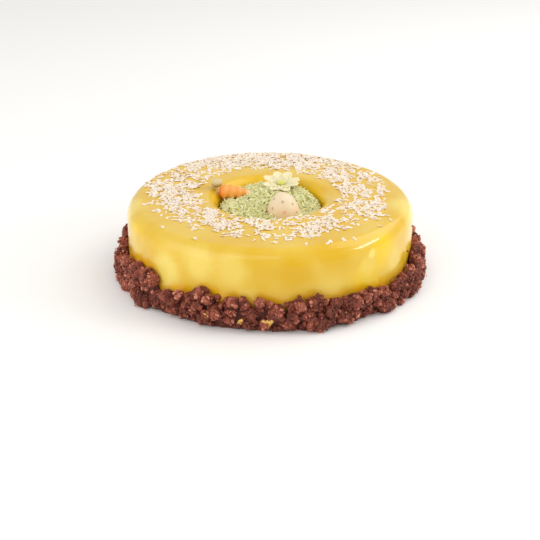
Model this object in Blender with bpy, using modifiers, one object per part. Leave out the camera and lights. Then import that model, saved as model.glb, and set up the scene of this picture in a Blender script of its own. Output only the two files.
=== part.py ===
"""A round mousse cake under a yellow glaze, with coconut flakes, a crumble collar and a small garden.

Metres, +Z up. The origin is the middle of the cake's flat underside, and the front is towards -Y.
The well in the top holds a mound of green coconut, and on it lie a carrot, an egg and a daisy.
"""

import math
import random

import bmesh
import bpy
from mathutils import Euler, Matrix, Vector

GAP = 0.0003

CAKE_RADIUS = 0.100
CAKE_HEIGHT = 0.053
EDGE_ACROSS = 0.0098
EDGE_DOWN = 0.0123
CAKE_STEPS = 64

WELL_MOUTH_RADIUS = 0.0455
WELL_LIP_RADIUS = 0.0088
WELL_WALL_FOOT = (0.0325, 0.031)
WELL_BEND = (0.0300, 0.0275)
WELL_FLOOR_RADIUS = 0.026
WELL_FLOOR_HEIGHT = 0.026
LIP_SEGMENTS = 5
EDGE_SEGMENTS = 6

FLAKE_COUNT = 188
FLAKE_SEED = 11
FLAKE_RING = (0.0505, 0.0855)
# Where the ring starts and ends: direction in degrees from +X, and distance from the axis.
FLAKE_STARTS = (
    (0, 0.0505),
    (45, 0.0525),
    (90, 0.0560),
    (135, 0.0590),
    (180, 0.0540),
    (225, 0.0520),
    (270, 0.0475),
    (315, 0.0475),
    (360, 0.0505),
)
FLAKE_ENDS = (
    (0, 0.0845),
    (45, 0.0870),
    (90, 0.0880),
    (135, 0.0880),
    (180, 0.0850),
    (225, 0.0800),
    (270, 0.0790),
    (315, 0.0820),
    (360, 0.0845),
)
FLAKE_LENGTHS = (0.0050, 0.0072)
FLAKE_WIDTHS = (0.0014, 0.0021)
FLAKE_THICKNESS = 0.0014
FLAKE_RISE = 0.0004
FLAKE_TILT = 0.14
FLAKE_ROLL = 0.28
FLAKE_SHIFT = 0.02

COLLAR_RADIUS = 0.1066
# The heap's top line: direction in degrees from +X, and height.
COLLAR_TOP = (
    (0, 0.0210),
    (20, 0.0200),
    (50, 0.0230),
    (80, 0.0200),
    (110, 0.0230),
    (140, 0.0205),
    (165, 0.0230),
    (195, 0.0200),
    (204, 0.0240),
    (215, 0.0285),
    (222, 0.0260),
    (226, 0.0150),
    (236, 0.0215),
    (240, 0.0205),
    (245, 0.0265),
    (253, 0.0215),
    (258, 0.0235),
    (263, 0.0200),
    (266, 0.0235),
    (274, 0.0190),
    (285, 0.0240),
    (294, 0.0195),
    (304, 0.0205),
    (315, 0.0175),
    (334, 0.0175),
    (343, 0.0245),
    (360, 0.0210),
)
# How the heap meets the ground: direction, and 0 where it is tucked up or 1 where it spreads.
COLLAR_SPREAD = (
    (0, 1.0),
    (195, 0.9),
    (212, 0.9),
    (219, 1.2),
    (223, 0.7),
    (226, 0.1),
    (238, 0.0),
    (245, 0.4),
    (252, 0.2),
    (258, 0.0),
    (266, 0.0),
    (274, 0.3),
    (280, 0.2),
    (284, 0.9),
    (289, 0.9),
    (294, 0.5),
    (297, 0.7),
    (303, 0.3),
    (309, 0.2),
    (314, 1.0),
    (360, 1.0),
)
COLLAR_TUCK = 0.0030
COLLAR_CORE_DROP = 0.0030
COLLAR_STEPS = 56
COLLAR_ROUGHNESS = 0.0018
COLLAR_LEDGE = 0.0045
COLLAR_OVERCUT = 0.0015
# Heights of the core's outer points, as shares of its full height.
COLLAR_SHARES = (0.80, 0.55, 0.30, 0.0)
LUMP_COUNT = 37
LUMP_RADIUS = 0.0061
# The low row's distance from the axis, height and radius, tucked up and spread out.
TUCKED_ROW = (0.1033, 0.0077, 0.0052)
SPREAD_ROW = (0.1054, 0.0050, 0.0061)
HIGH_ROW_DISTANCE = 0.1040
LUMP_SEED = 23
LUMP_SHIFT = 0.22
LUMP_SCATTER = 0.0011
LUMP_SIZES = (0.86, 1.16)
LUMP_CORNERS = (0.84, 1.12)

GRASS_LEVEL = 0.0452
GRASS_SLOPE = 0.06
GRASS_HILL = 0.0055
GRASS_HILL_PLACE = (0.004, 0.018)
GRASS_HILL_SPREAD = 0.016
GRASS_EDGE_RADIUS = 0.0351
GRASS_EDGE_DROP = 0.0016
GRASS_EDGE_SHARE = 0.2
GRASS_HILL_LOSS = 0.25
GRASS_ROUGHNESS = 0.0006
GRASS_RINGS = (0.0, 0.008, 0.0155, 0.022, 0.028, 0.0325)
GRASS_STEPS = 26
SHRED_COUNT = 62
SHRED_SEED = 37
SHRED_SIZE = (0.0040, 0.0013, 0.0012)
SHRED_SIZES = (0.8, 1.2)
SHRED_RISE = 0.0003
SHRED_TILT = 0.55
SHRED_EDGE = 0.0045
GARNISH_MARGIN = 0.0030

EGG_RADIUS = 0.0119
EGG_HEIGHT = 0.0312
EGG_WIDEST = 0.0125
EGG_FOOT = (0.0105, -0.0125, 0.0285)
EGG_LEAN = math.radians(-4)
EGG_STEPS = 18
EGG_NARROW_SEGMENTS = 7
EGG_BLUNT_SEGMENTS = 5

CARROT_HEAD = Vector((-0.0314, 0.0113, 0.0517))
CARROT_TIP = Vector((-0.0146, 0.0145, 0.0490))
CARROT_HEAD_RADIUS = 0.0051
CARROT_TIP_RADIUS = 0.0020
CARROT_RINGS = 4
CARROT_RING_DEPTH = 0.055
CARROT_TAPER = 2.2
# The head's radius as a share of the full one, and how fast it grows to that.
CARROT_SHOULDER = (0.66, 2.6)
CARROT_BACK_SHARE = 0.8
CARROT_STEPS = 14
STALK_RADIUS = 0.0042
STALK_FLATTENING = 0.78
STALK_DENT = 0.12
STALK_ANGLE = math.radians(21)
STALK_PLACE_X = -0.0376

DAISY_MIDDLE = Vector((0.0082, 0.0220, 0.0530))
DAISY_TILT = math.radians(9)
PETAL_COUNT = 8
PETAL_ROOT = 0.0022
PETAL_LENGTH = 0.0140
PETAL_WIDTH = 0.0092
PETAL_THICKNESS = 0.0009
PETAL_LIFT = 0.0026
PETAL_HOLLOW = 0.0009
# How wide a petal is at its root, as a share of its widest, and how its tip curls up.
PETAL_NECK = 0.22
PETAL_CURL = 1.6
# Where along a half wave of width a petal starts.
PETAL_SWELL_START = 0.20
PETAL_FIRST_TURN = 0.35
PETAL_TURN_SHIFT = 0.08
PETAL_LENGTHS = (0.94, 1.03)
PETAL_LIFTS = (0.75, 1.3)
PETAL_SEED = 41
DAISY_BASE_RADIUS = 0.0045
DAISY_BUTTON_DEPTH = 0.0006
DAISY_BUTTON_RISE = 0.0004
DAISY_BUTTON_STEPS = 16
DAISY_EYE_RADIUS = 0.0029
DAISY_EYE_HEIGHT = 0.0020
DAISY_EYE_SEGMENTS = 4
DAISY_EYE_STEPS = 12


def arc(middle, across, down, start, end, count):
    """Points of an elliptical arc in the profile's plane, with both ends."""
    points = []
    for i in range(count + 1):
        angle = start + (end - start) * i / count
        points.append((middle[0] + across * math.cos(angle), middle[1] + down * math.sin(angle)))
    return points


def new_collection(name, parent=None):
    """A collection under the parent, or under the scene."""
    collection = bpy.data.collections.new(name)
    (parent or bpy.context.scene.collection).children.link(collection)
    return collection


def new_object(name, mesh, collection):
    """An object for the mesh in the collection."""
    obj = bpy.data.objects.new(name, mesh)
    collection.objects.link(obj)
    return obj


def object_from_bmesh(name, shape, collection):
    """An object for the bmesh, which is freed."""
    mesh = bpy.data.meshes.new(name)
    shape.to_mesh(mesh)
    shape.free()
    return new_object(name, mesh, collection)


def settle(obj):
    """Make what the modifiers show the object's own mesh."""
    graph = bpy.context.evaluated_depsgraph_get()
    mesh = bpy.data.meshes.new_from_object(obj.evaluated_get(graph))
    obj.modifiers.clear()
    obj.data = mesh
    mesh.name = obj.name


def turned(name, profile, steps, collection):
    """A solid turned about Z from a profile that runs down its outer side.

    The profile runs from axis to axis, or is a loop away from the axis that ends where it starts.
    """
    mesh = bpy.data.meshes.new(name)
    edges = [(i, i + 1) for i in range(len(profile) - 1)]
    if profile[0] == profile[-1]:
        profile = profile[:-1]
        edges[-1] = (len(profile) - 1, 0)
    mesh.from_pydata([(radius, 0.0, height) for radius, height in profile], edges, [])
    obj = new_object(name, mesh, collection)
    screw = obj.modifiers.new("turn", "SCREW")
    screw.steps = steps
    screw.render_steps = steps
    screw.use_merge_vertices = True
    screw.merge_threshold = 0.00001
    settle(obj)
    return obj


def fuse(base, pieces):
    """Join a collection of pieces to the base with one union, and remove them."""
    union = base.modifiers.new("fused pieces", "BOOLEAN")
    union.operation = "UNION"
    union.operand_type = "COLLECTION"
    union.collection = pieces
    union.solver = "EXACT"
    settle(base)
    for piece in list(pieces.objects):
        bpy.data.objects.remove(piece)
    bpy.data.collections.remove(pieces)
    keep_main_body(base)


def carve(base, cutter, solver="EXACT"):
    """Cut the cutter's shape out of the base."""
    cut = base.modifiers.new("cut by " + cutter.name, "BOOLEAN")
    cut.operation = "DIFFERENCE"
    cut.object = cutter
    cut.solver = solver
    settle(base)
    keep_main_body(base)


def keep_main_body(obj):
    """Drop every loose scrap and sealed hollow, so that the largest closed surface stays alone."""
    shape = bmesh.new()
    shape.from_mesh(obj.data)
    unseen = set(shape.verts)
    bodies = []
    while unseen:
        front = [unseen.pop()]
        body = list(front)
        while front:
            for edge in front.pop().link_edges:
                for vertex in edge.verts:
                    if vertex in unseen:
                        unseen.remove(vertex)
                        front.append(vertex)
                        body.append(vertex)
        bodies.append(body)
    bodies.sort(key=len)
    for body in bodies[:-1]:
        bmesh.ops.delete(shape, geom=body, context="VERTS")
    shape.to_mesh(obj.data)
    shape.free()


def grown_copy(obj, margin, collection):
    """A cutter that is the object with every face moved out by the margin."""
    cutter = new_object(obj.name + "_clearance", obj.data.copy(), collection)
    cutter.matrix_world = obj.matrix_basis
    push = cutter.modifiers.new("margin", "DISPLACE")
    push.mid_level = 0.0
    push.strength = margin
    settle(cutter)
    as_guide(cutter)
    return cutter


def as_guide(obj):
    """Keep a cutter out of the render."""
    obj.hide_render = True
    obj.display_type = "WIRE"


def dress(obj, colour, roughness, smooth_angle=math.radians(40)):
    """Give the object its plain colour and smooth its round faces."""
    material = bpy.data.materials.new(obj.name + "_colour")
    material.use_nodes = True
    shader = material.node_tree.nodes["Principled BSDF"]
    shader.inputs["Base Color"].default_value = (*colour, 1.0)
    shader.inputs["Roughness"].default_value = roughness
    shader.inputs["Metallic"].default_value = 0.0
    obj.data.materials.clear()
    obj.data.materials.append(material)
    obj.data.shade_smooth()
    obj.data.set_sharp_from_angle(angle=smooth_angle)


def lip_middle():
    """Middle of the arc that rounds the well's lip, in the profile's plane."""
    return WELL_MOUTH_RADIUS, CAKE_HEIGHT - WELL_LIP_RADIUS


def cake_profile():
    """From the well's floor up over its lip, across the top and down the outer side."""
    points = [(0.0, WELL_FLOOR_HEIGHT), (WELL_FLOOR_RADIUS, WELL_FLOOR_HEIGHT)]
    points += [WELL_BEND, WELL_WALL_FOOT]
    lip = WELL_LIP_RADIUS
    points += arc(lip_middle(), lip, lip, math.pi, math.pi / 2, LIP_SEGMENTS)
    edge_middle = (CAKE_RADIUS - EDGE_ACROSS, CAKE_HEIGHT - EDGE_DOWN)
    points += arc(edge_middle, EDGE_ACROSS, EDGE_DOWN, math.pi / 2, 0.0, EDGE_SEGMENTS)
    return points + [(CAKE_RADIUS, 0.0), (0.0, 0.0)]


def even_ring(count, inner, outer, rng):
    """Places spread evenly over a ring by the golden angle, each shifted a little."""
    golden = math.pi * (3 - math.sqrt(5))
    for i in range(count):
        share = (i + 0.5) / count
        radius = math.sqrt(inner**2 + (outer**2 - inner**2) * share)
        angle = i * golden + rng.uniform(-FLAKE_SHIFT, FLAKE_SHIFT)
        yield radius * math.cos(angle), radius * math.sin(angle)


def sliver(name, size, place, turn, collection):
    """A small straight strip of the given length, width and thickness."""
    shape = bmesh.new()
    bmesh.ops.create_cube(shape, size=1.0)
    scale = Matrix.Diagonal((*size, 1.0))
    shape.transform(Matrix.Translation(place) @ turn.to_matrix().to_4x4() @ scale)
    return object_from_bmesh(name, shape, collection)


def by_direction(knots, x, y):
    """The value in the direction of a place, between the two nearest knots."""
    degrees = math.degrees(math.atan2(y, x)) % 360
    for (start, low), (end, high) in zip(knots, knots[1:]):
        if degrees <= end:
            return low + (high - low) * (degrees - start) / (end - start)
    return knots[-1][1]


def flake_place(x, y):
    """Move a place in the even ring in or out, so that the ring has its uneven edges."""
    inner, outer = FLAKE_RING
    away = math.hypot(x, y)
    start = by_direction(FLAKE_STARTS, x, y)
    end = by_direction(FLAKE_ENDS, x, y)
    scale = (start + (end - start) * (away - inner) / (outer - inner)) / away
    return x * scale, y * scale


def make_cake(parts):
    """The glazed body with its well, and the coconut flakes that stick to its top."""
    cake = turned("glazed_cake", cake_profile(), CAKE_STEPS, parts)
    rng = random.Random(FLAKE_SEED)
    flakes = new_collection("flakes")
    for x, y in even_ring(FLAKE_COUNT, *FLAKE_RING, rng):
        size = (rng.uniform(*FLAKE_LENGTHS), rng.uniform(*FLAKE_WIDTHS), FLAKE_THICKNESS)
        tilt = rng.uniform(-FLAKE_TILT, FLAKE_TILT)
        roll = rng.uniform(-FLAKE_ROLL, FLAKE_ROLL)
        turn = Euler((roll, tilt, rng.uniform(0, math.pi)))
        place = Vector((*flake_place(x, y), CAKE_HEIGHT + FLAKE_RISE))
        sliver("flake", size, place, turn, flakes)
    fuse(cake, flakes)
    dress(cake, (0.86, 0.60, 0.12), 0.15)


def lump(name, place, radius, rng, collection):
    """A rough clod of crumble: a coarse ball with each corner moved in or out."""
    shape = bmesh.new()
    bmesh.ops.create_icosphere(shape, subdivisions=1, radius=radius)
    turn = Euler([rng.uniform(0, math.tau) for _ in range(3)]).to_matrix()
    for vertex in shape.verts:
        vertex.co = turn @ vertex.co * rng.uniform(*LUMP_CORNERS) + place
    return object_from_bmesh(name, shape, collection)


def raise_core(core, rng):
    """Bring the turned core to its top line and its spread, and roughen its outer side."""
    ledge = CAKE_RADIUS + COLLAR_LEDGE - COLLAR_OVERCUT / 2
    for vertex in core.data.vertices:
        away = vertex.co.xy.length
        if away > ledge:
            tuck = COLLAR_TUCK * (1 - by_direction(COLLAR_SPREAD, *vertex.co.xy))
            vertex.co.xy *= (away - tuck) / away
        if vertex.co.z > 0:
            vertex.co.z *= by_direction(COLLAR_TOP, *vertex.co.xy) - COLLAR_CORE_DROP
            if away > CAKE_RADIUS:
                rough = [rng.uniform(-COLLAR_ROUGHNESS, COLLAR_ROUGHNESS) for _ in range(3)]
                vertex.co += Vector(rough)


def make_collar(parts, cutters):
    """The ring of chocolate crumble pressed round the cake's foot."""
    inner = CAKE_RADIUS - COLLAR_OVERCUT
    below = -COLLAR_OVERCUT
    profile = [(inner, below), (inner, 1.0), (inner + COLLAR_LEDGE, 1.0)]
    profile += [(COLLAR_RADIUS, share) for share in COLLAR_SHARES]
    profile += [(COLLAR_RADIUS, below), (inner, below)]
    collar = turned("crumble_collar", profile, COLLAR_STEPS, parts)
    rng = random.Random(LUMP_SEED)
    raise_core(collar, rng)
    lumps = new_collection("lumps")
    for i in range(2 * LUMP_COUNT):
        angle = math.pi * (i + rng.uniform(-LUMP_SHIFT, LUMP_SHIFT)) / LUMP_COUNT
        way = (math.cos(angle), math.sin(angle))
        growth = rng.uniform(*LUMP_SIZES)
        if i % 2:
            radius = LUMP_RADIUS * growth
            distance = HIGH_ROW_DISTANCE
            height = by_direction(COLLAR_TOP, *way) - radius
        else:
            spread = by_direction(COLLAR_SPREAD, *way)
            row = [a + (b - a) * spread for a, b in zip(TUCKED_ROW, SPREAD_ROW)]
            distance, height, radius = row
            radius *= growth
        out = distance + rng.uniform(-LUMP_SCATTER, LUMP_SCATTER)
        up = height + rng.uniform(-LUMP_SCATTER, LUMP_SCATTER)
        place = Vector((out * way[0], out * way[1], up))
        lump("lump", place, radius, rng, lumps)
    fuse(collar, lumps)
    clearance = CAKE_RADIUS + GAP
    high = 2 * CAKE_HEIGHT
    plug = [(0.0, high), (clearance, high), (clearance, -high), (0.0, -high)]
    cake_cutter = turned("cake_clearance", plug, CAKE_STEPS, cutters)
    as_guide(cake_cutter)
    carve(collar, cake_cutter, "MANIFOLD")
    wide = 2 * CAKE_RADIUS
    slab = [(0.0, 0.0), (wide, 0.0), (wide, -high), (0.0, -high)]
    table_cutter = turned("table_clearance", slab, CAKE_STEPS, cutters)
    as_guide(table_cutter)
    carve(collar, table_cutter, "MANIFOLD")
    dress(collar, (0.16, 0.055, 0.045), 0.75)


def grass_height(x, y):
    """Height of the green mound over a place in the well."""
    away = (x - GRASS_HILL_PLACE[0]) ** 2 + (y - GRASS_HILL_PLACE[1]) ** 2
    hill = GRASS_HILL * math.exp(-away / (2 * GRASS_HILL_SPREAD**2))
    inside = 1 - GRASS_EDGE_SHARE
    rim = max(0.0, math.hypot(x, y) / GRASS_EDGE_RADIUS - inside) / GRASS_EDGE_SHARE
    hill *= 1 - GRASS_HILL_LOSS * rim**2
    return GRASS_LEVEL + GRASS_SLOPE * y + hill - GRASS_EDGE_DROP * rim**2


def near_garnish(x, y):
    """Whether a place is close to the egg, the carrot or the daisy, where no shred may stand."""
    here = Vector((x, y))
    if (here - Vector(EGG_FOOT[:2])).length < EGG_RADIUS + GARNISH_MARGIN:
        return True
    if (here - DAISY_MIDDLE.xy).length < PETAL_LENGTH + GARNISH_MARGIN:
        return True
    along = CARROT_TIP.xy - CARROT_HEAD.xy
    share = max(0.0, min(1.0, (here - CARROT_HEAD.xy).dot(along) / along.length_squared))
    nearest = CARROT_HEAD.xy + along * share
    return (here - nearest).length < CARROT_HEAD_RADIUS + GARNISH_MARGIN


def make_grass(parts, cutters, garnish):
    """The mound of green coconut in the well, hollowed where the garnish sits in it."""
    rng = random.Random(SHRED_SEED)
    foot_radius, foot_height = WELL_WALL_FOOT
    bend_radius, bend_height = WELL_BEND
    profile = [(radius, GRASS_LEVEL) for radius in GRASS_RINGS]
    profile += [(GRASS_EDGE_RADIUS, GRASS_LEVEL), (foot_radius - GAP, foot_height + GAP)]
    profile += [(bend_radius - GAP, bend_height + GAP)]
    profile += [(WELL_FLOOR_RADIUS - GAP, WELL_FLOOR_HEIGHT + GAP), (0.0, WELL_FLOOR_HEIGHT + GAP)]
    grass = turned("green_coconut", profile, GRASS_STEPS, parts)
    for vertex in grass.data.vertices:
        if vertex.co.z > GRASS_LEVEL - GAP:
            rough = rng.uniform(-GRASS_ROUGHNESS, GRASS_ROUGHNESS)
            vertex.co.z = grass_height(vertex.co.x, vertex.co.y) + rough
    shreds = new_collection("shreds")
    for x, y in even_ring(SHRED_COUNT, 0.0, GRASS_EDGE_RADIUS - SHRED_EDGE, rng):
        if near_garnish(x, y):
            continue
        tilts = [rng.uniform(-SHRED_TILT, SHRED_TILT) for _ in range(2)]
        turn = Euler((*tilts, rng.uniform(0, math.pi)))
        place = Vector((x, y, grass_height(x, y) + SHRED_RISE))
        size = [side * rng.uniform(*SHRED_SIZES) for side in SHRED_SIZE]
        sliver("shred", size, place, turn, shreds)
    for piece in garnish:
        carve(grass, grown_copy(piece, GAP, cutters))
    fuse(grass, shreds)
    dress(grass, (0.55, 0.62, 0.28), 0.85)


def make_egg(parts):
    """The small speckled egg that stands in the mound, its narrow end up."""
    middle = (0.0, EGG_WIDEST)
    rise = EGG_HEIGHT - EGG_WIDEST
    narrow = arc(middle, EGG_RADIUS, rise, math.pi / 2, 0.0, EGG_NARROW_SEGMENTS)
    blunt = arc(middle, EGG_RADIUS, EGG_WIDEST, 0.0, -math.pi / 2, EGG_BLUNT_SEGMENTS)
    profile = narrow + blunt[1:]
    profile[0] = (0.0, profile[0][1])
    profile[-1] = (0.0, profile[-1][1])
    egg = turned("speckled_egg", profile, EGG_STEPS, parts)
    egg.location = EGG_FOOT
    egg.rotation_euler = (0.0, EGG_LEAN, 0.0)
    dress(egg, (0.80, 0.66, 0.50), 0.45)
    return egg


def carrot_profile(length):
    """Down the carrot from head to tip, swelling into a few soft rings."""
    points = [(0.0, 0.0)]
    count = 4 * CARROT_RINGS
    for i in range(count + 1):
        share = i / count
        thinning = (CARROT_HEAD_RADIUS - CARROT_TIP_RADIUS) * share**CARROT_TAPER
        shoulder = min(1.0, CARROT_SHOULDER[0] + CARROT_SHOULDER[1] * share)
        ring = 1 - CARROT_RING_DEPTH * math.cos(math.tau * CARROT_RINGS * share)
        points.append(((CARROT_HEAD_RADIUS - thinning) * shoulder * ring, -length * share))
    return points + [(0.0, -length - CARROT_TIP_RADIUS / 2)]


def make_carrot(parts):
    """The orange root, and the pale stalk that rests on the well's lip. Gives the root."""
    along = CARROT_TIP - CARROT_HEAD
    back = CARROT_BACK_SHARE * CARROT_HEAD_RADIUS
    root = turned("carrot_root", carrot_profile(along.length + back), CARROT_STEPS, parts)
    root.location = CARROT_HEAD - along.normalized() * back
    root.rotation_mode = "QUATERNION"
    root.rotation_quaternion = along.to_track_quat("-Z", "Y")
    dress(root, (0.85, 0.28, 0.07), 0.4)
    lip_radius, lip_height = lip_middle()
    reach = WELL_LIP_RADIUS + STALK_RADIUS + GAP
    distance = lip_radius - reach * math.sin(STALK_ANGLE)
    place = Vector((STALK_PLACE_X, 0.0, lip_height + reach * math.cos(STALK_ANGLE)))
    place.y = math.sqrt(distance**2 - STALK_PLACE_X**2)
    shape = bmesh.new()
    bmesh.ops.create_icosphere(shape, subdivisions=2, radius=STALK_RADIUS)
    toward = (CARROT_HEAD - place).normalized()
    for vertex in shape.verts:
        pull = max(0.0, vertex.co.normalized().dot(toward))
        vertex.co *= 1.0 - STALK_DENT * pull
        vertex.co.z *= STALK_FLATTENING
    stalk = object_from_bmesh("carrot_stalk", shape, parts)
    stalk.location = place
    dress(stalk, (0.62, 0.55, 0.38), 0.5)
    return root


def petal(turn, length, lift, collection):
    """One pointed petal: a thin leaf, hollowed along its middle and lifted at its tip."""
    shape = bmesh.new()
    bmesh.ops.create_grid(shape, x_segments=3, y_segments=2, size=0.5)
    for vertex in shape.verts:
        share = vertex.co.x + 0.5
        side = vertex.co.y * 2
        swell = math.sin(math.pi * (PETAL_SWELL_START + (1 - PETAL_SWELL_START) * share))
        half = PETAL_WIDTH / 2 * (PETAL_NECK + (1 - PETAL_NECK) * swell)
        hollow = PETAL_HOLLOW * side**2 * math.sin(math.pi * share)
        height = lift * share**PETAL_CURL + hollow
        out = PETAL_ROOT + (length - PETAL_ROOT) * share
        vertex.co = Vector((out, half * side, height))
    shape.transform(Matrix.Rotation(turn, 4, "Z"))
    leaf = object_from_bmesh("petal", shape, collection)
    wall = leaf.modifiers.new("thickness", "SOLIDIFY")
    wall.thickness = PETAL_THICKNESS
    wall.offset = 1.0
    settle(leaf)
    return leaf


def make_daisy(parts):
    """The white daisy that leans against the mound, and its yellow-green eye. Gives the petals."""
    place = Matrix.Translation(DAISY_MIDDLE) @ Matrix.Rotation(DAISY_TILT, 4, "X")
    floor = -DAISY_BUTTON_DEPTH
    top = PETAL_THICKNESS + DAISY_BUTTON_RISE
    button = [(0.0, top), (DAISY_BASE_RADIUS, top), (DAISY_BASE_RADIUS, floor), (0.0, floor)]
    daisy = turned("daisy_petals", button, DAISY_BUTTON_STEPS, parts)
    petals = new_collection("petals")
    rng = random.Random(PETAL_SEED)
    for i in range(PETAL_COUNT):
        shift = rng.uniform(-PETAL_TURN_SHIFT, PETAL_TURN_SHIFT)
        turn = math.tau * (i + PETAL_FIRST_TURN + shift) / PETAL_COUNT
        length = PETAL_LENGTH * rng.uniform(*PETAL_LENGTHS)
        petal(turn, length, PETAL_LIFT * rng.uniform(*PETAL_LIFTS), petals)
    fuse(daisy, petals)
    daisy.matrix_world = place
    dress(daisy, (0.86, 0.84, 0.70), 0.55)
    seat = top + GAP
    across, up = DAISY_EYE_RADIUS, DAISY_EYE_HEIGHT
    dome = arc((0.0, seat), across, up, math.pi / 2, 0.0, DAISY_EYE_SEGMENTS)
    dome[0] = (0.0, dome[0][1])
    eye = turned("daisy_eye", dome + [(0.0, seat)], DAISY_EYE_STEPS, parts)
    eye.matrix_world = place
    dress(eye, (0.72, 0.68, 0.12), 0.6)
    return daisy


def main():
    """Clear the scene and make every piece."""
    for obj in list(bpy.data.objects):
        bpy.data.objects.remove(obj)
    parts = new_collection("glazed mousse cake")
    cutters = new_collection("cutters")
    make_cake(parts)
    make_collar(parts, cutters)
    egg = make_egg(parts)
    root = make_carrot(parts)
    daisy = make_daisy(parts)
    make_grass(parts, cutters, (egg, root, daisy))


main()
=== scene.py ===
"""The looks of a round mousse cake: mirror glaze, coconut, chocolate crumble and sugar garnish.

Metres, +Z up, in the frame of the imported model. The cake's axis is Z, and its front is towards -Y.
"""

import logging
import math
import random
from collections.abc import Callable, Iterator, Sequence
from dataclasses import dataclass, field
from enum import Enum

import bpy
import numpy as np
from mathutils import Euler, Matrix, Vector, noise

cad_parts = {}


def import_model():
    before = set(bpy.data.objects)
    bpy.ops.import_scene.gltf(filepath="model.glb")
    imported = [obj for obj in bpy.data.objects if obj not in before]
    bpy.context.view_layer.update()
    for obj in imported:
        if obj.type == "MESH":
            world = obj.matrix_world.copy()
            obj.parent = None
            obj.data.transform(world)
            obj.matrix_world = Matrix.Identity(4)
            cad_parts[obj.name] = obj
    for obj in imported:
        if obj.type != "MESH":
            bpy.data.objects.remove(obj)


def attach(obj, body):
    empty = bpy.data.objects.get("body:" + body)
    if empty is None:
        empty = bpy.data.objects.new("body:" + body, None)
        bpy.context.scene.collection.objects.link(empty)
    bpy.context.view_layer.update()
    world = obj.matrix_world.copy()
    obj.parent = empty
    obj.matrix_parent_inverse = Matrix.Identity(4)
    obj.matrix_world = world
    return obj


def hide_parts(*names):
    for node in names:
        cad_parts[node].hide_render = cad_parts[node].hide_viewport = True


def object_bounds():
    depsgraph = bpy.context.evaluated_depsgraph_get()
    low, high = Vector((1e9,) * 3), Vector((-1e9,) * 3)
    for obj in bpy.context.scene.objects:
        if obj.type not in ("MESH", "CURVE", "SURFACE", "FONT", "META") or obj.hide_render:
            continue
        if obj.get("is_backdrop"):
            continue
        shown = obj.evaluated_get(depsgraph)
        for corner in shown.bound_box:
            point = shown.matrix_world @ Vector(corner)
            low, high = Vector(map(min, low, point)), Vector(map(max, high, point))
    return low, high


LOG = logging.getLogger("entremet")
BODY = "root"
MM = 0.001
CAKE_RADIUS = 100 * MM

Colour = tuple[float, float, float]
Point = tuple[float, float]
Strip = tuple[float, float, float, float]


def srgb(red: int, green: int, blue: int) -> Colour:
    """Turn a colour as seen on a screen into the linear values that a shader takes.

    Args:
        red: Red from 0 to 255.
        green: Green from 0 to 255.
        blue: Blue from 0 to 255.

    Returns:
        The three linear values from 0 to 1.
    """
    linear = []
    for part in (red, green, blue):
        share = part / 255
        low = share <= 0.04045
        linear.append(share / 12.92 if low else ((share + 0.055) / 1.055) ** 2.4)
    return linear[0], linear[1], linear[2]


def ramp(value: float, low: float, high: float) -> float:
    """Rise smoothly from 0 at the low value to 1 at the high one.

    Args:
        value: The number to place between the two.
        low: Where the rise starts. It may be above the high value, for a fall.
        high: Where the rise ends.

    Returns:
        A number from 0 to 1.
    """
    share = min(1.0, max(0.0, (value - low) / (high - low)))
    return share * share * (3 - 2 * share)


def around(knots: Sequence[Point], x: float, y: float) -> float:
    """Read a value that changes with the direction from the axis.

    Args:
        knots: Directions in degrees from +X, from 0 to 360, each with its value.
        x: A place in that direction.
        y: A place in that direction.

    Returns:
        The value, blended between the two nearest knots.
    """
    turn = math.degrees(math.atan2(y, x)) % 360
    for (start, low), (end, high) in zip(knots, knots[1:]):
        if turn <= end:
            return low + (high - low) * (turn - start) / (end - start)
    return knots[-1][1]


def polar(turn: float, out: float, up: float) -> Vector:
    """The point at a direction in radians, a distance from the axis and a height."""
    return Vector((out * math.cos(turn), out * math.sin(turn), up))


def uneven(rng: random.Random, radius: float, low: float, high: float) -> Vector:
    """Three half-widths, each the radius times a random factor between two bounds."""
    return Vector([radius * rng.uniform(low, high) for _ in range(3)])


def any_turn(rng: random.Random) -> Euler:
    """A turn that is random about each axis."""
    return Euler([rng.uniform(0, math.tau) for _ in range(3)])


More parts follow.
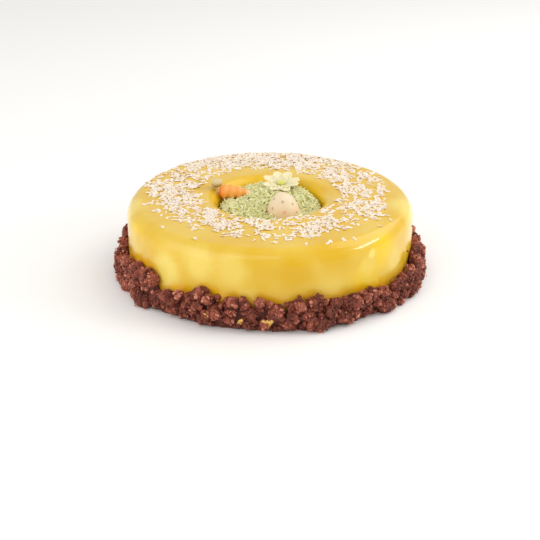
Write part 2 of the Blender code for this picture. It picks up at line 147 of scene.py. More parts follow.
class Field:
    """A number, colour or vector in a material, which adds and multiplies as numbers do."""

    def __init__(self, recipe: "Recipe", socket: bpy.types.NodeSocket) -> None:
        """Wrap a socket.

        Args:
            recipe: The recipe whose node tree holds the socket.
            socket: The output that carries the value.
        """
        self.recipe = recipe
        self.socket = socket

    def _maths(self, operation: str, *values: "Field | float", clamp: bool = False) -> "Field":
        """Add a Math node.

        Args:
            operation: The node's operation.
            values: Its inputs in order.
            clamp: Whether the result is kept from 0 to 1.

        Returns:
            The node's result.
        """
        settings = {"operation": operation, "use_clamp": clamp}
        made = self.recipe.node("ShaderNodeMath", settings, dict(enumerate(values)))
        return Field(self.recipe, made.outputs[0])

    def __add__(self, other: "Field | float") -> "Field":
        """Add a value to this one."""
        return self._maths("ADD", self, other)

    def __radd__(self, other: float) -> "Field":
        """Add this value to a number."""
        return self._maths("ADD", other, self)

    def __sub__(self, other: "Field | float") -> "Field":
        """Take a value from this one."""
        return self._maths("SUBTRACT", self, other)

    def __rsub__(self, other: float) -> "Field":
        """Take this value from a number."""
        return self._maths("SUBTRACT", other, self)

    def __mul__(self, other: "Field | float") -> "Field":
        """Multiply this value by another."""
        return self._maths("MULTIPLY", self, other)

    def __rmul__(self, other: float) -> "Field":
        """Multiply a number by this value."""
        return self._maths("MULTIPLY", other, self)

    def __truediv__(self, other: "Field | float") -> "Field":
        """Divide this value by another."""
        return self._maths("DIVIDE", self, other)

    def __rtruediv__(self, other: float) -> "Field":
        """Divide a number by this value."""
        return self._maths("DIVIDE", other, self)

    def clamped(self) -> "Field":
        """Keep this value from 0 to 1."""
        return self._maths("ADD", self, 0.0, clamp=True)

    def step(self, low: float, high: float) -> "Field":
        """Rise smoothly from 0 to 1.

        Args:
            low: Where the rise starts, or where a fall ends.
            high: Where the rise ends.

        Returns:
            A value from 0 to 1.
        """
        rising = low < high
        inputs = {
            "Value": self,
            "From Min": min(low, high),
            "From Max": max(low, high),
            "To Min": 0.0 if rising else 1.0,
            "To Max": 1.0 if rising else 0.0,
        }
        made = self.recipe.node("ShaderNodeMapRange", {"interpolation_type": "SMOOTHSTEP"}, inputs)
        return Field(self.recipe, made.outputs["Result"])


Value = Field | float | int | Sequence[float]


class Recipe:
    """The node tree of one material, on the object's own coordinates."""

    def __init__(self, name: str) -> None:
        """Start a material with no nodes but its output.

        Args:
            name: The material's name.
        """
        self.material = bpy.data.materials.new(name)
        self.material.use_nodes = True
        self.tree = self.material.node_tree
        self.tree.nodes.clear()
        self.place = Field(self, self.node("ShaderNodeTexCoord").outputs["Object"])

    def node(
        self,
        kind: str,
        settings: dict[str, object] | None = None,
        inputs: dict[int | str, Value] | None = None,
    ) -> bpy.types.Node:
        """Add a node.

        Args:
            kind: The node's type.
            settings: Its properties by name.
            inputs: What each input takes, a field or a constant, by name or number.

        Returns:
            The node.
        """
        made = self.tree.nodes.new(kind)
        for name, value in (settings or {}).items():
            setattr(made, name, value)
        for name, value in (inputs or {}).items():
            socket = made.inputs[name]
            if isinstance(value, Field):
                self.tree.links.new(value.socket, socket)
            elif isinstance(value, (int, float)):
                socket.default_value = value
            else:
                socket.default_value = (*value, 1.0) if socket.type == "RGBA" else value
        return made

    def attribute(self, name: str) -> Field:
        """Read a number that the mesh holds for each of its corners."""
        made = self.node("ShaderNodeAttribute", {"attribute_name": name})
        return Field(self, made.outputs["Fac"])

    def axis(self, name: str) -> Field:
        """Read one coordinate of the place on the piece, X, Y or Z."""
        return Field(self, self.node("ShaderNodeSeparateXYZ", None, {0: self.place}).outputs[name])

    def noise(self, size: float, detail: float = 3.0, roughness: float = 0.55) -> Field:
        """Soft random mottling.

        Args:
            size: The width of one blotch in metres.
            detail: How many finer layers it has.
            roughness: How strong the finer layers are.

        Returns:
            A value around 0.5.
        """
        inputs = {"Vector": self.place, "Scale": 1 / size, "Detail": detail, "Roughness": roughness}
        return Field(self, self.node("ShaderNodeTexNoise", None, inputs).outputs[0])

    def grains(self, size: float) -> Field:
        """The distance to the nearest of many scattered points.

        Args:
            size: The distance between points in metres.

        Returns:
            A value from 0 to about 1.
        """
        inputs = {"Vector": self.place, "Scale": 1 / size}
        return Field(self, self.node("ShaderNodeTexVoronoi", None, inputs).outputs["Distance"])

    def near(self, spot: Vector) -> Field:
        """The distance in metres from a spot on the piece."""
        inputs = {0: self.place, 1: tuple(spot)}
        made = self.node("ShaderNodeVectorMath", {"operation": "DISTANCE"}, inputs)
        return Field(self, made.outputs["Value"])

    def mix(self, low: "Field | Colour", high: "Field | Colour", share: "Field | float") -> Field:
        """Blend two colours.

        Args:
            low: The colour where the share is 0.
            high: The colour where the share is 1.
            share: How much of the second colour is taken.

        Returns:
            The blended colour.
        """
        settings = {"data_type": "RGBA", "clamp_factor": True}
        made = self.node("ShaderNodeMix", settings, {0: share, 6: low, 7: high})
        return Field(self, made.outputs[2])

    def bump(self, height: Field, depth: float, strength: float = 1.0) -> Field:
        """Turn a height into a normal.

        Args:
            height: The height, where 1 is the full depth.
            depth: The height of the relief in metres.
            strength: How much of it is shown.

        Returns:
            The normal.
        """
        inputs = {"Height": height, "Distance": depth, "Strength": strength}
        return Field(self, self.node("ShaderNodeBump", None, inputs).outputs["Normal"])

    def finish(self, **inputs: Value) -> bpy.types.Material:
        """Set the surface shader and give the material.

        Args:
            inputs: The shader's inputs, named as its sockets with underscores for spaces.

        Returns:
            The finished material.
        """
        named = {name.replace("_", " "): value for name, value in inputs.items()}
        shader = self.node("ShaderNodeBsdfPrincipled", None, named)
        output = self.node("ShaderNodeOutputMaterial")
        self.tree.links.new(shader.outputs["BSDF"], output.inputs["Surface"])
        return self.material


class GlazeTint(Enum):
    """The colours that drift through the glaze."""

    GOLD = srgb(221, 174, 0)
    LEMON = srgb(238, 200, 2)
    PALE = srgb(240, 216, 108)
    BRIGHT = srgb(255, 208, 4)
    AMBER = srgb(248, 168, 0)


@dataclass(frozen=True)
class Drift:
    """A soft cloud of another colour in the glaze.

    It has a direction in degrees from +X, a height and a reach in millimetres, and a strength.
    """

    turn: float
    height: float
    reach: float
    tint: GlazeTint
    strength: float

    def spot(self) -> Vector:
        """The drift's middle on the cake's side."""
        return polar(math.radians(self.turn), CAKE_RADIUS, self.height * MM)


@dataclass(frozen=True)
class MirrorGlaze:
    """The translucent yellow glaze, with paler and deeper drifts in it, a few of them painted
    highlights.
    """

    drift: float = 38 * MM
    wisp: float = 9 * MM
    cloud_share: float = 0.4
    end_share: float = 0.5
    # Most drifts are the glaze's own marbling. Three are painted highlights: the pale top edge at
    # 190 degrees, the small pale spot at 311 and the pale right shoulder at 350.
    drifts: tuple[Drift, ...] = (
        Drift(206, 40, 17, GlazeTint.LEMON, 0.9), Drift(227, 30, 17, GlazeTint.PALE, 0.85),
        Drift(243, 41, 17, GlazeTint.PALE, 0.7), Drift(256, 39, 17, GlazeTint.PALE, 0.55),
        Drift(279, 38, 19, GlazeTint.GOLD, 0.9), Drift(262, 20, 12, GlazeTint.PALE, 0.4),
        Drift(294, 24, 14, GlazeTint.PALE, 0.35), Drift(308, 26, 18, GlazeTint.LEMON, 0.7),
        Drift(318, 40, 16, GlazeTint.LEMON, 0.9), Drift(309, 34, 11, GlazeTint.PALE, 0.45),
        Drift(311, 41, 4, GlazeTint.PALE, 0.9), Drift(326, 30, 14, GlazeTint.PALE, 0.5),
        Drift(341, 28, 13, GlazeTint.LEMON, 0.7), Drift(350, 52, 25, GlazeTint.PALE, 0.85),
        Drift(190, 50, 18, GlazeTint.PALE, 0.8), Drift(209, 40, 9, GlazeTint.GOLD, 0.6),
        Drift(20, 36, 18, GlazeTint.GOLD, 0.7), Drift(52, 40, 17, GlazeTint.PALE, 0.6),
        Drift(84, 34, 18, GlazeTint.LEMON, 0.7), Drift(118, 40, 17, GlazeTint.PALE, 0.6),
        Drift(150, 34, 18, GlazeTint.GOLD, 0.7),
    )

    def material(self) -> bpy.types.Material:
        """Make the material."""
        recipe = Recipe("mirror glaze")
        clouds = recipe.noise(self.drift, 2.0).step(0.25, 0.75)
        pale = clouds * self.cloud_share + 0.02
        colour = recipe.mix(GlazeTint.GOLD.value, GlazeTint.PALE.value, pale)
        wisps = recipe.noise(self.wisp) * self.wisp
        for drift in self.drifts:
            away = recipe.near(drift.spot()) + wisps - self.wisp / 2
            share = away.step(drift.reach * MM, drift.reach * 0.25 * MM)
            colour = recipe.mix(colour, drift.tint.value, share * drift.strength)
        # Painted light: the brighter yellow inside the well's mouth is a painted glow, and the amber
        # over the crumble is the glaze's own colour with a painted reflection of the crumble.
        for end, tint in (("well", GlazeTint.BRIGHT), ("foot", GlazeTint.AMBER)):
            colour = recipe.mix(colour, tint.value, self.end_share * recipe.attribute(end))
        return recipe.finish(
            Base_Color=colour,
            Roughness=0.16 + 0.12 * recipe.noise(6 * MM, 2.0),
            IOR=1.34,
            Subsurface_Weight=0.12,
            Subsurface_Radius=(1.0, 0.8, 0.25),
            Subsurface_Scale=3 * MM,
            Coat_Weight=0.38,
            Coat_Roughness=0.07,
        )


@dataclass(frozen=True)
class ShreddedCoconut:
    """Dry shreds of coconut, each a little lighter or darker than the next."""

    name: str
    light: Colour
    dark: Colour
    shade: Colour
    fibre: float = 0.5 * MM

    def material(self) -> bpy.types.Material:
        """Make the material."""
        recipe = Recipe(self.name)
        tone = recipe.attribute("tone")
        fibres = recipe.noise(self.fibre, 3.0, 0.7)
        colour = recipe.mix(self.dark, self.light, (tone * 0.75 + fibres * 0.45).clamped())
        colour = recipe.mix(colour, self.shade, recipe.noise(4 * MM).step(0.50, 0.74) * 0.5)
        return recipe.finish(
            Base_Color=colour,
            Roughness=0.55 + 0.2 * fibres,
            Normal=recipe.bump(fibres, 0.12 * MM, 0.7),
            Subsurface_Weight=0.35,
            Subsurface_Radius=(1.0, 0.85, 0.65),
            Subsurface_Scale=1.5 * MM,
        )


@dataclass(frozen=True)
class ChocolateCrumble:
    """Short baked cocoa crumble: fine grains with a little fat on them, with painted shade in the
    cracks and painted highlights on open faces.
    """

    light: Colour = srgb(220, 142, 116)
    middle: Colour = srgb(182, 90, 64)
    dark: Colour = srgb(64, 23, 15)
    grain: float = 1.2 * MM

    def material(self) -> bpy.types.Material:
        """Make the material."""
        recipe = Recipe("chocolate crumble")
        tone = recipe.attribute("tone")
        grains = recipe.grains(self.grain)
        dust = recipe.noise(0.5 * MM, 4.0, 0.7)
        blotch = recipe.noise(5 * MM)
        # The tone carries painted shade: low deep between clods and high out on their faces, with
        # random differences.
        share = (tone * 0.85 + blotch * 0.3 + dust * 0.3 - 0.12).clamped()
        colour = recipe.mix(self.dark, self.middle, share)
        # Painted highlight: the light colour on the most open spots.
        colour = recipe.mix(colour, self.light, (dust * tone).step(0.24, 0.48))
        # Painted shade: dark in the cracks between the grains.
        colour = recipe.mix(colour, self.dark, grains.step(0.46, 0.86) * 0.62)
        relief = dust * 0.4 + (1.0 - grains) * 0.6
        return recipe.finish(
            Base_Color=colour,
            Roughness=0.40 + 0.35 * dust,
            Normal=recipe.bump(relief, 0.5 * MM, 0.9),
            Specular_IOR_Level=0.42,
        )


class SpeckTint(Enum):
    """The two colours of the specks on the egg."""

    OLIVE = srgb(150, 128, 62)
    ORANGE = srgb(232, 140, 78)


@dataclass(frozen=True)
class Speck:
    """One speck of colour on the egg, by its direction from the axis and its height."""

    turn: float
    height: float
    radius: float
    tint: SpeckTint


@dataclass(frozen=True)
class SpeckledShell:
    """Cream sugar shell with blurred specks, and a pinker foot."""

    specks: tuple[tuple[Vector, float, SpeckTint], ...]
    low: float
    high: float
    cream: Colour = srgb(235, 216, 184)
    pink: Colour = srgb(228, 194, 154)

    def material(self) -> bpy.types.Material:
        """Make the material."""
        recipe = Recipe("speckled shell")
        rise = recipe.axis("Z").step(self.low, self.high)
        cloud = recipe.noise(6 * MM)
        colour = recipe.mix(self.pink, self.cream, (rise + cloud - 0.5).clamped())
        blur = recipe.noise(1.1 * MM, 3.0, 0.6) * 0.9 * MM
        for spot, radius, tint in self.specks:
            mark = (recipe.near(spot) + blur - 0.45 * MM).step(radius * 1.8, radius * 0.5)
            colour = recipe.mix(colour, tint.value, mark * 0.6)
        fine = recipe.noise(0.6 * MM, 2.0)
        return recipe.finish(
            Base_Color=colour,
            Roughness=0.42 + 0.12 * cloud,
            Normal=recipe.bump(fine, 0.06 * MM, 0.5),
            Subsurface_Weight=0.15,
            Subsurface_Radius=(1.0, 0.6, 0.4),
            Subsurface_Scale=2 * MM,
        )


@dataclass(frozen=True)
class CarrotSugar:
    """Orange sugar that turns cream at the tip and red in the grooves."""

    head: Vector
    length: float
    orange: Colour = srgb(242, 173, 80)
    red: Colour = srgb(236, 128, 44)
    cream: Colour = srgb(248, 214, 176)

    def material(self) -> bpy.types.Material:
        """Make the material."""
        recipe = Recipe("carrot sugar")
        groove = recipe.attribute("groove")
        along = recipe.near(self.head) / self.length
        cloud = recipe.noise(3 * MM)
        colour = recipe.mix(self.orange, self.red, (groove * 0.6 + cloud * 0.4).clamped() * 0.55)
        colour = recipe.mix(colour, self.red, along.step(0.32, 0.05) * 0.75)
        colour = recipe.mix(colour, self.cream, (along + cloud * 0.12).step(0.90, 1.04))
        fine = recipe.noise(0.5 * MM)
        return recipe.finish(
            Base_Color=colour,
            Roughness=0.38 + 0.15 * cloud,
            Normal=recipe.bump(fine, 0.08 * MM, 0.6),
            Subsurface_Weight=0.1,
            Subsurface_Radius=(1.0, 0.5, 0.2),
            Subsurface_Scale=1.5 * MM,
        )


@dataclass(frozen=True)
class MottledSugar:
    """Plain sugar paste, darker low down and lighter high up as painted shade and light, blended by
    height and mottling.
    """

    name: str
    low_colour: Colour
    high_colour: Colour
    low: float
    high: float
    grain: float = 0.7 * MM
    relief: float = 0.15 * MM

    def material(self) -> bpy.types.Material:
        """Make the material."""
        recipe = Recipe(self.name)
        cloud = recipe.noise(2.5 * MM)
        # The darker low colour and the lighter high colour are painted shade and painted light.
        rise = recipe.axis("Z").step(self.low, self.high)
        colour = recipe.mix(self.low_colour, self.high_colour, (rise + cloud * 0.6 - 0.3).clamped())
        fine = recipe.noise(self.grain, 3.0, 0.65)
        return recipe.finish(
            Base_Color=colour,
            Roughness=0.5 + 0.2 * fine,
            Normal=recipe.bump(fine, self.relief, 0.7),
            Subsurface_Weight=0.12,
            Subsurface_Radius=(1.0, 0.8, 0.4),
            Subsurface_Scale=1 * MM,
        )


@dataclass(frozen=True)
class PetalSugar:
    """Thin cream-white wafer, green towards the eye and veined along each petal."""

    middle: Vector
    reach: float
    white: Colour = srgb(236, 224, 182)
    green: Colour = srgb(222, 216, 136)

    def material(self) -> bpy.types.Material:
        """Make the material."""
        recipe = Recipe("petal sugar")
        away = recipe.near(self.middle) / self.reach
        cloud = recipe.noise(2 * MM)
        colour = recipe.mix(self.green, self.white, (away + cloud * 0.3).step(0.26, 0.66))
        veins = recipe.attribute("vein")
        fine = recipe.noise(0.5 * MM)
        return recipe.finish(
            Base_Color=recipe.mix(colour, self.green, veins * 0.35),
            Roughness=0.5 + 0.15 * cloud,
            Normal=recipe.bump(fine * 0.4 - veins * 0.6, 0.2 * MM, 0.6),
            Subsurface_Weight=0.25,
            Subsurface_Radius=(1.0, 0.9, 0.6),
            Subsurface_Scale=1.5 * MM,
        )


@dataclass(frozen=True)
class PaleFloor:
    """The plain pale ground."""

    colour: Colour = srgb(252, 251, 249)

    def material(self) -> bpy.types.Material:
        """Make the material."""
        recipe = Recipe("pale floor")
        cloud = recipe.noise(0.4, 2.0)
        return recipe.finish(Base_Color=self.colour, Roughness=0.75 + 0.1 * cloud)


class Bench:
    """The hand moves of modelling: start clean, shape in edit mode, and finish a piece."""

    @staticmethod
    def clear() -> None:
        """Leave edit mode and deselect everything."""
        if bpy.context.mode != "OBJECT":
            bpy.ops.object.mode_set(mode="OBJECT")
        bpy.ops.object.select_all(action="DESELECT")

    @staticmethod
    def take(obj: bpy.types.Object) -> None:
        """Make the object the only selected one."""
        Bench.clear()
        obj.select_set(True)
        bpy.context.view_layer.objects.active = obj

    @staticmethod
    def spun(name: str, profile: Sequence[Point], steps: int) -> bpy.types.Object:
        """Extrude a line of points in the XZ plane and spin it round Z.

        Args:
            name: The piece's name.
            profile: Distance from the axis and height of each point.
            steps: How many steps make the full turn.

        Returns:
            The turned piece, with its faces outward.
        """
        Bench.clear()
        radius, height = profile[0]
        bpy.ops.mesh.primitive_plane_add(size=MM, location=(radius, 0.0, height))
        obj = bpy.context.object
        obj.name = name
        Bench.bake(obj)
        bpy.ops.object.mode_set(mode="EDIT")
        bpy.ops.mesh.select_all(action="SELECT")
        bpy.ops.mesh.merge(type="CENTER")
        for (r0, z0), (r1, z1) in zip(profile, profile[1:]):
            step = {"value": (r1 - r0, 0.0, z1 - z0)}
            bpy.ops.mesh.extrude_region_move(TRANSFORM_OT_translate=step)
        bpy.ops.mesh.select_all(action="SELECT")
        bpy.ops.mesh.spin(steps=steps, angle=math.tau, center=(0, 0, 0), axis=(0, 0, 1))
        bpy.ops.mesh.select_all(action="SELECT")
        bpy.ops.mesh.remove_doubles(threshold=0.002 * MM)
        bpy.ops.mesh.normals_make_consistent(inside=False)
        bpy.ops.object.mode_set(mode="OBJECT")
        return obj

    @staticmethod
    def bake(obj: bpy.types.Object) -> None:
        """Put the object's place, turn and size into its mesh."""
        Bench.take(obj)
        bpy.ops.object.transform_apply(location=True, rotation=True, scale=True)

    @staticmethod
    def modify(obj: bpy.types.Object, kind: str, **settings: object) -> None:
        """Add a modifier and apply it.

        Args:
            obj: The piece.
            kind: The modifier's type.
            settings: Its properties by name.
        """
        Bench.take(obj)
        modifier = obj.modifiers.new(kind.lower(), kind)
        for name, value in settings.items():
            setattr(modifier, name, value)
        bpy.ops.object.modifier_apply(modifier=modifier.name)

    @staticmethod
    def roughen(obj: bpy.types.Object, size: float, depth: float) -> None:
        """Push the surface in and out by cloudy lumps.

        Args:
            obj: The piece.
            size: The width of one lump in metres.
            depth: The whole travel from the lowest to the highest place.
        """
        texture = bpy.data.textures.new(f"{obj.name} lumps", "CLOUDS")
        texture.noise_scale = size
        texture.noise_depth = 2
        settings = {"texture_coords": "LOCAL", "mid_level": 0.5, "strength": depth}
        Bench.modify(obj, "DISPLACE", texture=texture, **settings)
        bpy.data.textures.remove(texture)

    @staticmethod
    def polish(obj: bpy.types.Object, angle: float = 60.0) -> None:
        """Smooth the faces that meet under an angle in degrees."""
        Bench.take(obj)
        bpy.ops.object.shade_smooth_by_angle(angle=math.radians(angle))

    @staticmethod
    def mark(obj: bpy.types.Object, name: str, values: Sequence[float]) -> None:
        """Store a number for each corner of the mesh, for the material to read.

        Args:
            obj: The piece.
            name: The attribute's name.
            values: One number for each vertex.
        """
        layer = obj.data.attributes.new(name, "FLOAT", "POINT")
        layer.data.foreach_set("value", np.asarray(values, dtype=np.float32))

    @staticmethod
    def hand_over(
        obj: bpy.types.Object,
        material: bpy.types.Material,
        slot: str,
        node: str | None = None,
    ) -> None:
        """Dress a finished piece and say what it rides on and stands for.

        Args:
            obj: The piece.
            material: Its material.
            slot: Not used.
            node: The solid that it stands for, if any.
        """
        obj.data.materials.clear()
        obj.data.materials.append(material)
        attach(obj, BODY)
        if node:
            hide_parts(node)
        triangles = sum(len(face.vertices) - 2 for face in obj.data.polygons)
        LOG.info("%s: %d triangles", obj.name, triangles)


@dataclass
class Form:
    """The corners and faces of a small shape that a heap repeats."""

    corners: np.ndarray
    loops: np.ndarray
    sizes: np.ndarray

    @classmethod
    def of(cls, obj: bpy.types.Object) -> "Form":
        """Take the form of an object, and remove the object."""
        mesh = obj.data
        corners = np.array([vertex.co[:] for vertex in mesh.vertices])
        loops = np.array([loop.vertex_index for loop in mesh.loops])
        sizes = np.array([len(face.vertices) for face in mesh.polygons])
        bpy.data.objects.remove(obj)
        return cls(corners, loops, sizes)


@dataclass
class Heap:
    """Many copies of a few forms, joined into one mesh."""

    name: str
    corners: list[np.ndarray] = field(default_factory=list)
    loops: list[np.ndarray] = field(default_factory=list)
    sizes: list[np.ndarray] = field(default_factory=list)
    tones: list[np.ndarray] = field(default_factory=list)
    count: int = 0

    def add(self, form: Form, place: Matrix, tone: float) -> None:
        """Add one copy.

        Args:
            form: The shape.
            place: Where it goes, how it is turned and its size.
            tone: How light it is, from 0 to 1.
        """
        turn = np.array(place.to_3x3())
        self.corners.append(form.corners @ turn.T + np.array(place.translation))
        self.loops.append(form.loops + self.count)
        self.sizes.append(form.sizes)
        self.tones.append(np.full(len(form.corners), tone))
        self.count += len(form.corners)

    def joined(self) -> bpy.types.Object:
        """Make the mesh of all copies.

        Returns:
            The heap as one object, with each copy's tone stored on its corners.
        """
        corners = np.concatenate(self.corners)
        loops = np.concatenate(self.loops)
        sizes = np.concatenate(self.sizes)
        mesh = bpy.data.meshes.new(self.name)
        mesh.vertices.add(len(corners))
        mesh.vertices.foreach_set("co", corners.ravel().astype(np.float32))
        mesh.loops.add(len(loops))
        mesh.loops.foreach_set("vertex_index", loops.astype(np.int32))
        mesh.polygons.add(len(sizes))
        starts = np.concatenate(([0], np.cumsum(sizes)[:-1]))
        mesh.polygons.foreach_set("loop_start", starts.astype(np.int32))
        mesh.update(calc_edges=True)
        mesh.validate()
        obj = bpy.data.objects.new(self.name, mesh)
        bpy.context.scene.collection.objects.link(obj)
        Bench.mark(obj, "tone", np.concatenate(self.tones))
        return obj


@dataclass
class Bed:
    """The growing height of loose pieces that lie on each other."""

    ground: Callable[[float, float], float]
    half: float
    cell: float = 0.8 * MM
    packing: float = 0.6
    feelers: tuple[float, ...] = (-0.42, -0.21, 0.0, 0.21, 0.42)
    span: float = 0.63
    steepest: float = 0.7
    rise: np.ndarray = field(init=False)

    def __post_init__(self) -> None:
        """Start with bare ground."""
        count = int(2 * self.half / self.cell) + 2
        self.rise = np.zeros((count, count))

    def _cell(self, x: float, y: float) -> tuple[int, int]:
        """Find the cell over a place."""
        last = len(self.rise) - 1
        column = int((x + self.half) / self.cell)
        row = int((y + self.half) / self.cell)
        return min(last, max(0, column)), min(last, max(0, row))

    def height(self, x: float, y: float) -> float:
        """The height of ground and pieces over a place."""
        return self.ground(x, y) + float(self.rise[self._cell(x, y)])

    def lay(self, x: float, y: float, heading: float, length: float, thick: float) -> Point:
        """Lay a strip down on what is there.

        Args:
            x: The middle's place.
            y: The middle's place.
            heading: The strip's direction in radians.
            length: The strip's length.
            thick: The strip's thickness.

        Returns:
            The height of the strip's middle, and its pitch in radians.
        """
        reach = [share * length for share in self.feelers]
        spots = [(x + r * math.cos(heading), y + r * math.sin(heading)) for r in reach]
        heights = [self.height(*spot) for spot in spots]
        back = max(heights[:2])
        front = max(heights[3:])
        pitch = math.atan2(front - back, self.span * length)
        pitch = max(-self.steepest, min(self.steepest, pitch))
        middle = max((back + front) / 2, heights[2])
        for (px, py), r in zip(spots, reach):
            top = middle + r * math.sin(pitch) + thick
            cell = self._cell(px, py)
            lift = (top - self.ground(px, py)) * self.packing
            self.rise[cell] = max(self.rise[cell], lift)
        return middle + thick / 2, pitch


@dataclass(frozen=True)
class CakeForm:
    """The glazed body's sizes, and the height of its top."""

    radius: float = CAKE_RADIUS
    height: float = 53 * MM
    edge_across: float = 9.8 * MM
    edge_down: float = 12.3 * MM
    mouth: float = 45.5 * MM
    lip: float = 8.8 * MM
    wall_foot: Point = (32.5 * MM, 31 * MM)
    bend: Point = (30 * MM, 27.5 * MM)
    floor: Point = (26 * MM, 26 * MM)

    def top(self, x: float, y: float) -> float:
        """The height of the glaze over a place.

        Args:
            x: The place.
            y: The place.

        Returns:
            The height, on the flat top or on either rounded edge.
        """
        away = math.hypot(x, y)
        if away < self.mouth:
            inward = min(self.lip * 0.97, self.mouth - away)
            return self.height - self.lip + math.sqrt(self.lip**2 - inward**2)
        outward = min(0.99, max(0.0, (away - self.radius + self.edge_across) / self.edge_across))
        return self.height - self.edge_down + self.edge_down * math.sqrt(1 - outward**2)


def arc(
    middle: Point, across: float, down: float, start: float, end: float, count: int
) -> list[Point]:
    """Points of an elliptical arc.

    Args:
        middle: The arc's middle, as distance from the axis and height.
        across: The radius across.
        down: The radius up and down.
        start: The first angle in radians.
        end: The last angle in radians.
        count: How many stretches it has.

    Returns:
        The points with both ends.
    """
    points = []
    for i in range(count + 1):
        angle = start + (end - start) * i / count
        points.append((middle[0] + across * math.cos(angle), middle[1] + down * math.sin(angle)))
    return points


def line(start: Point, end: Point, count: int) -> list[Point]:
    """Evenly spaced points on a line, without its ends."""
    shares = [i / count for i in range(1, count)]
    return [tuple(a + (b - a) * share for a, b in zip(start, end)) for share in shares]


@dataclass
class GlazedBody:
    """The cake's body under its glaze, with the well in its top."""

    form: CakeForm
    crumble_top: Callable[[float, float], float]
    steps: int = 240
    wave: float = 45 * MM
    wave_depth: float = 0.9 * MM
    ripple: float = 16 * MM
    ripple_depth: float = 0.3 * MM
    wall_steps: int = 4
    lip_steps: int = 12
    edge_steps: int = 14
    side_steps: int = 24
    # Where the glaze turns amber over the crumble, its own colour with a painted reflection of the
    # crumble, and turns brighter inside the well's mouth, a painted glow.
    foot_ends: Point = (5 * MM, -2 * MM)
    well_ends: Point = (-2 * MM, -9 * MM)
    flat_under: float = 0.6 * MM

    def profile(self) -> list[Point]:
        """From the well's floor over its lip, across the top and down to the foot."""
        form = self.form
        points = [(0.0, form.floor[1]), form.floor, form.bend, form.wall_foot]
        middle = (form.mouth, form.height - form.lip)
        lip = arc(middle, form.lip, form.lip, math.pi, math.pi / 2, self.lip_steps)
        points += line(form.wall_foot, lip[0], self.wall_steps) + lip
        middle = (form.radius - form.edge_across, form.height - form.edge_down)
        edge = arc(middle, form.edge_across, form.edge_down, math.pi / 2, 0.0, self.edge_steps)
        points += line(lip[-1], edge[0], self.edge_steps) + edge
        foot = (form.radius, 0.0)
        points += line(edge[-1], foot, self.side_steps) + [foot, (0.0, 0.0)]
        return points

    def build(self) -> None:
        """Turn the body, and let the glaze run a little unevenly."""
        body = Bench.spun("glaze_skin", self.profile(), self.steps)
        Bench.roughen(body, self.wave, self.wave_depth)
        Bench.roughen(body, self.ripple, self.ripple_depth)
        self._level_foot(body)
        spots = [vertex.co for vertex in body.data.vertices]
        over = [spot.z - self.crumble_top(*spot.xy) for spot in spots]
        Bench.mark(body, "foot", [ramp(rise, *self.foot_ends) for rise in over])
        beyond = [spot.xy.length - self.form.mouth for spot in spots]
        Bench.mark(body, "well", [ramp(rise, *self.well_ends) for rise in beyond])
        Bench.polish(body, 50)
        Bench.hand_over(body, MirrorGlaze().material(), "yellow_glaze", "glazed_cake")

    def _level_foot(self, body: bpy.types.Object) -> None:
        """Press the underside flat again."""
        for vertex in body.data.vertices:
            vertex.co.z = 0.0 if vertex.co.z < self.flat_under else vertex.co.z


@dataclass(frozen=True)
class Patch:
    """A round place on the top, in millimetres from the axis."""

    x: float
    y: float
    radius: float

    def cover(self, x: float, y: float) -> float:
        """How much of the patch lies over a place, from 0 to 1."""
        away = math.hypot(x / MM - self.x, y / MM - self.y)
        return ramp(away, self.radius * 1.25, self.radius * 0.55)


@dataclass(frozen=True)
class Shreds:
    """Loose shreds of one kind, strewn on a bed.

    The forms are pairs of bend and twist in degrees. The rest are ranges, or the spread of a bell
    curve in radians, and the lift is the share of a tilted shred's length that it is raised by.
    """

    name: str
    forms: tuple[Point, ...]
    widths: Point
    thickness: float
    thicker: Point
    steep: float
    roll: float
    lift: float
    tones: Point

    def strew(self, strips: Iterator[Strip], bed: Bed, rng: random.Random) -> bpy.types.Object:
        """Lay the shreds down one by one and join them.

        Args:
            strips: Each shred's place, heading in radians and length.
            bed: What they fall on.
            rng: The source of their differences.

        Returns:
            The heap as one object.
        """
        forms = [shred_form(bend, twist) for bend, twist in self.forms]
        heap = Heap(self.name)
        for x, y, heading, length in strips:
            size = (length, rng.uniform(*self.widths), self.thickness * rng.uniform(*self.thicker))
            height, pitch = bed.lay(x, y, heading, length, size[2])
            steep = rng.gauss(0, self.steep)
            turn = Euler((rng.gauss(0, self.roll), -pitch + steep, heading))
            height += self.lift * length * abs(math.sin(steep))
            place = Matrix.LocRotScale(Vector((x, y, height)), turn, Vector(size))
            heap.add(rng.choice(forms), place, rng.uniform(*self.tones))
        shreds = heap.joined()
        Bench.polish(shreds, 45)
        return shreds


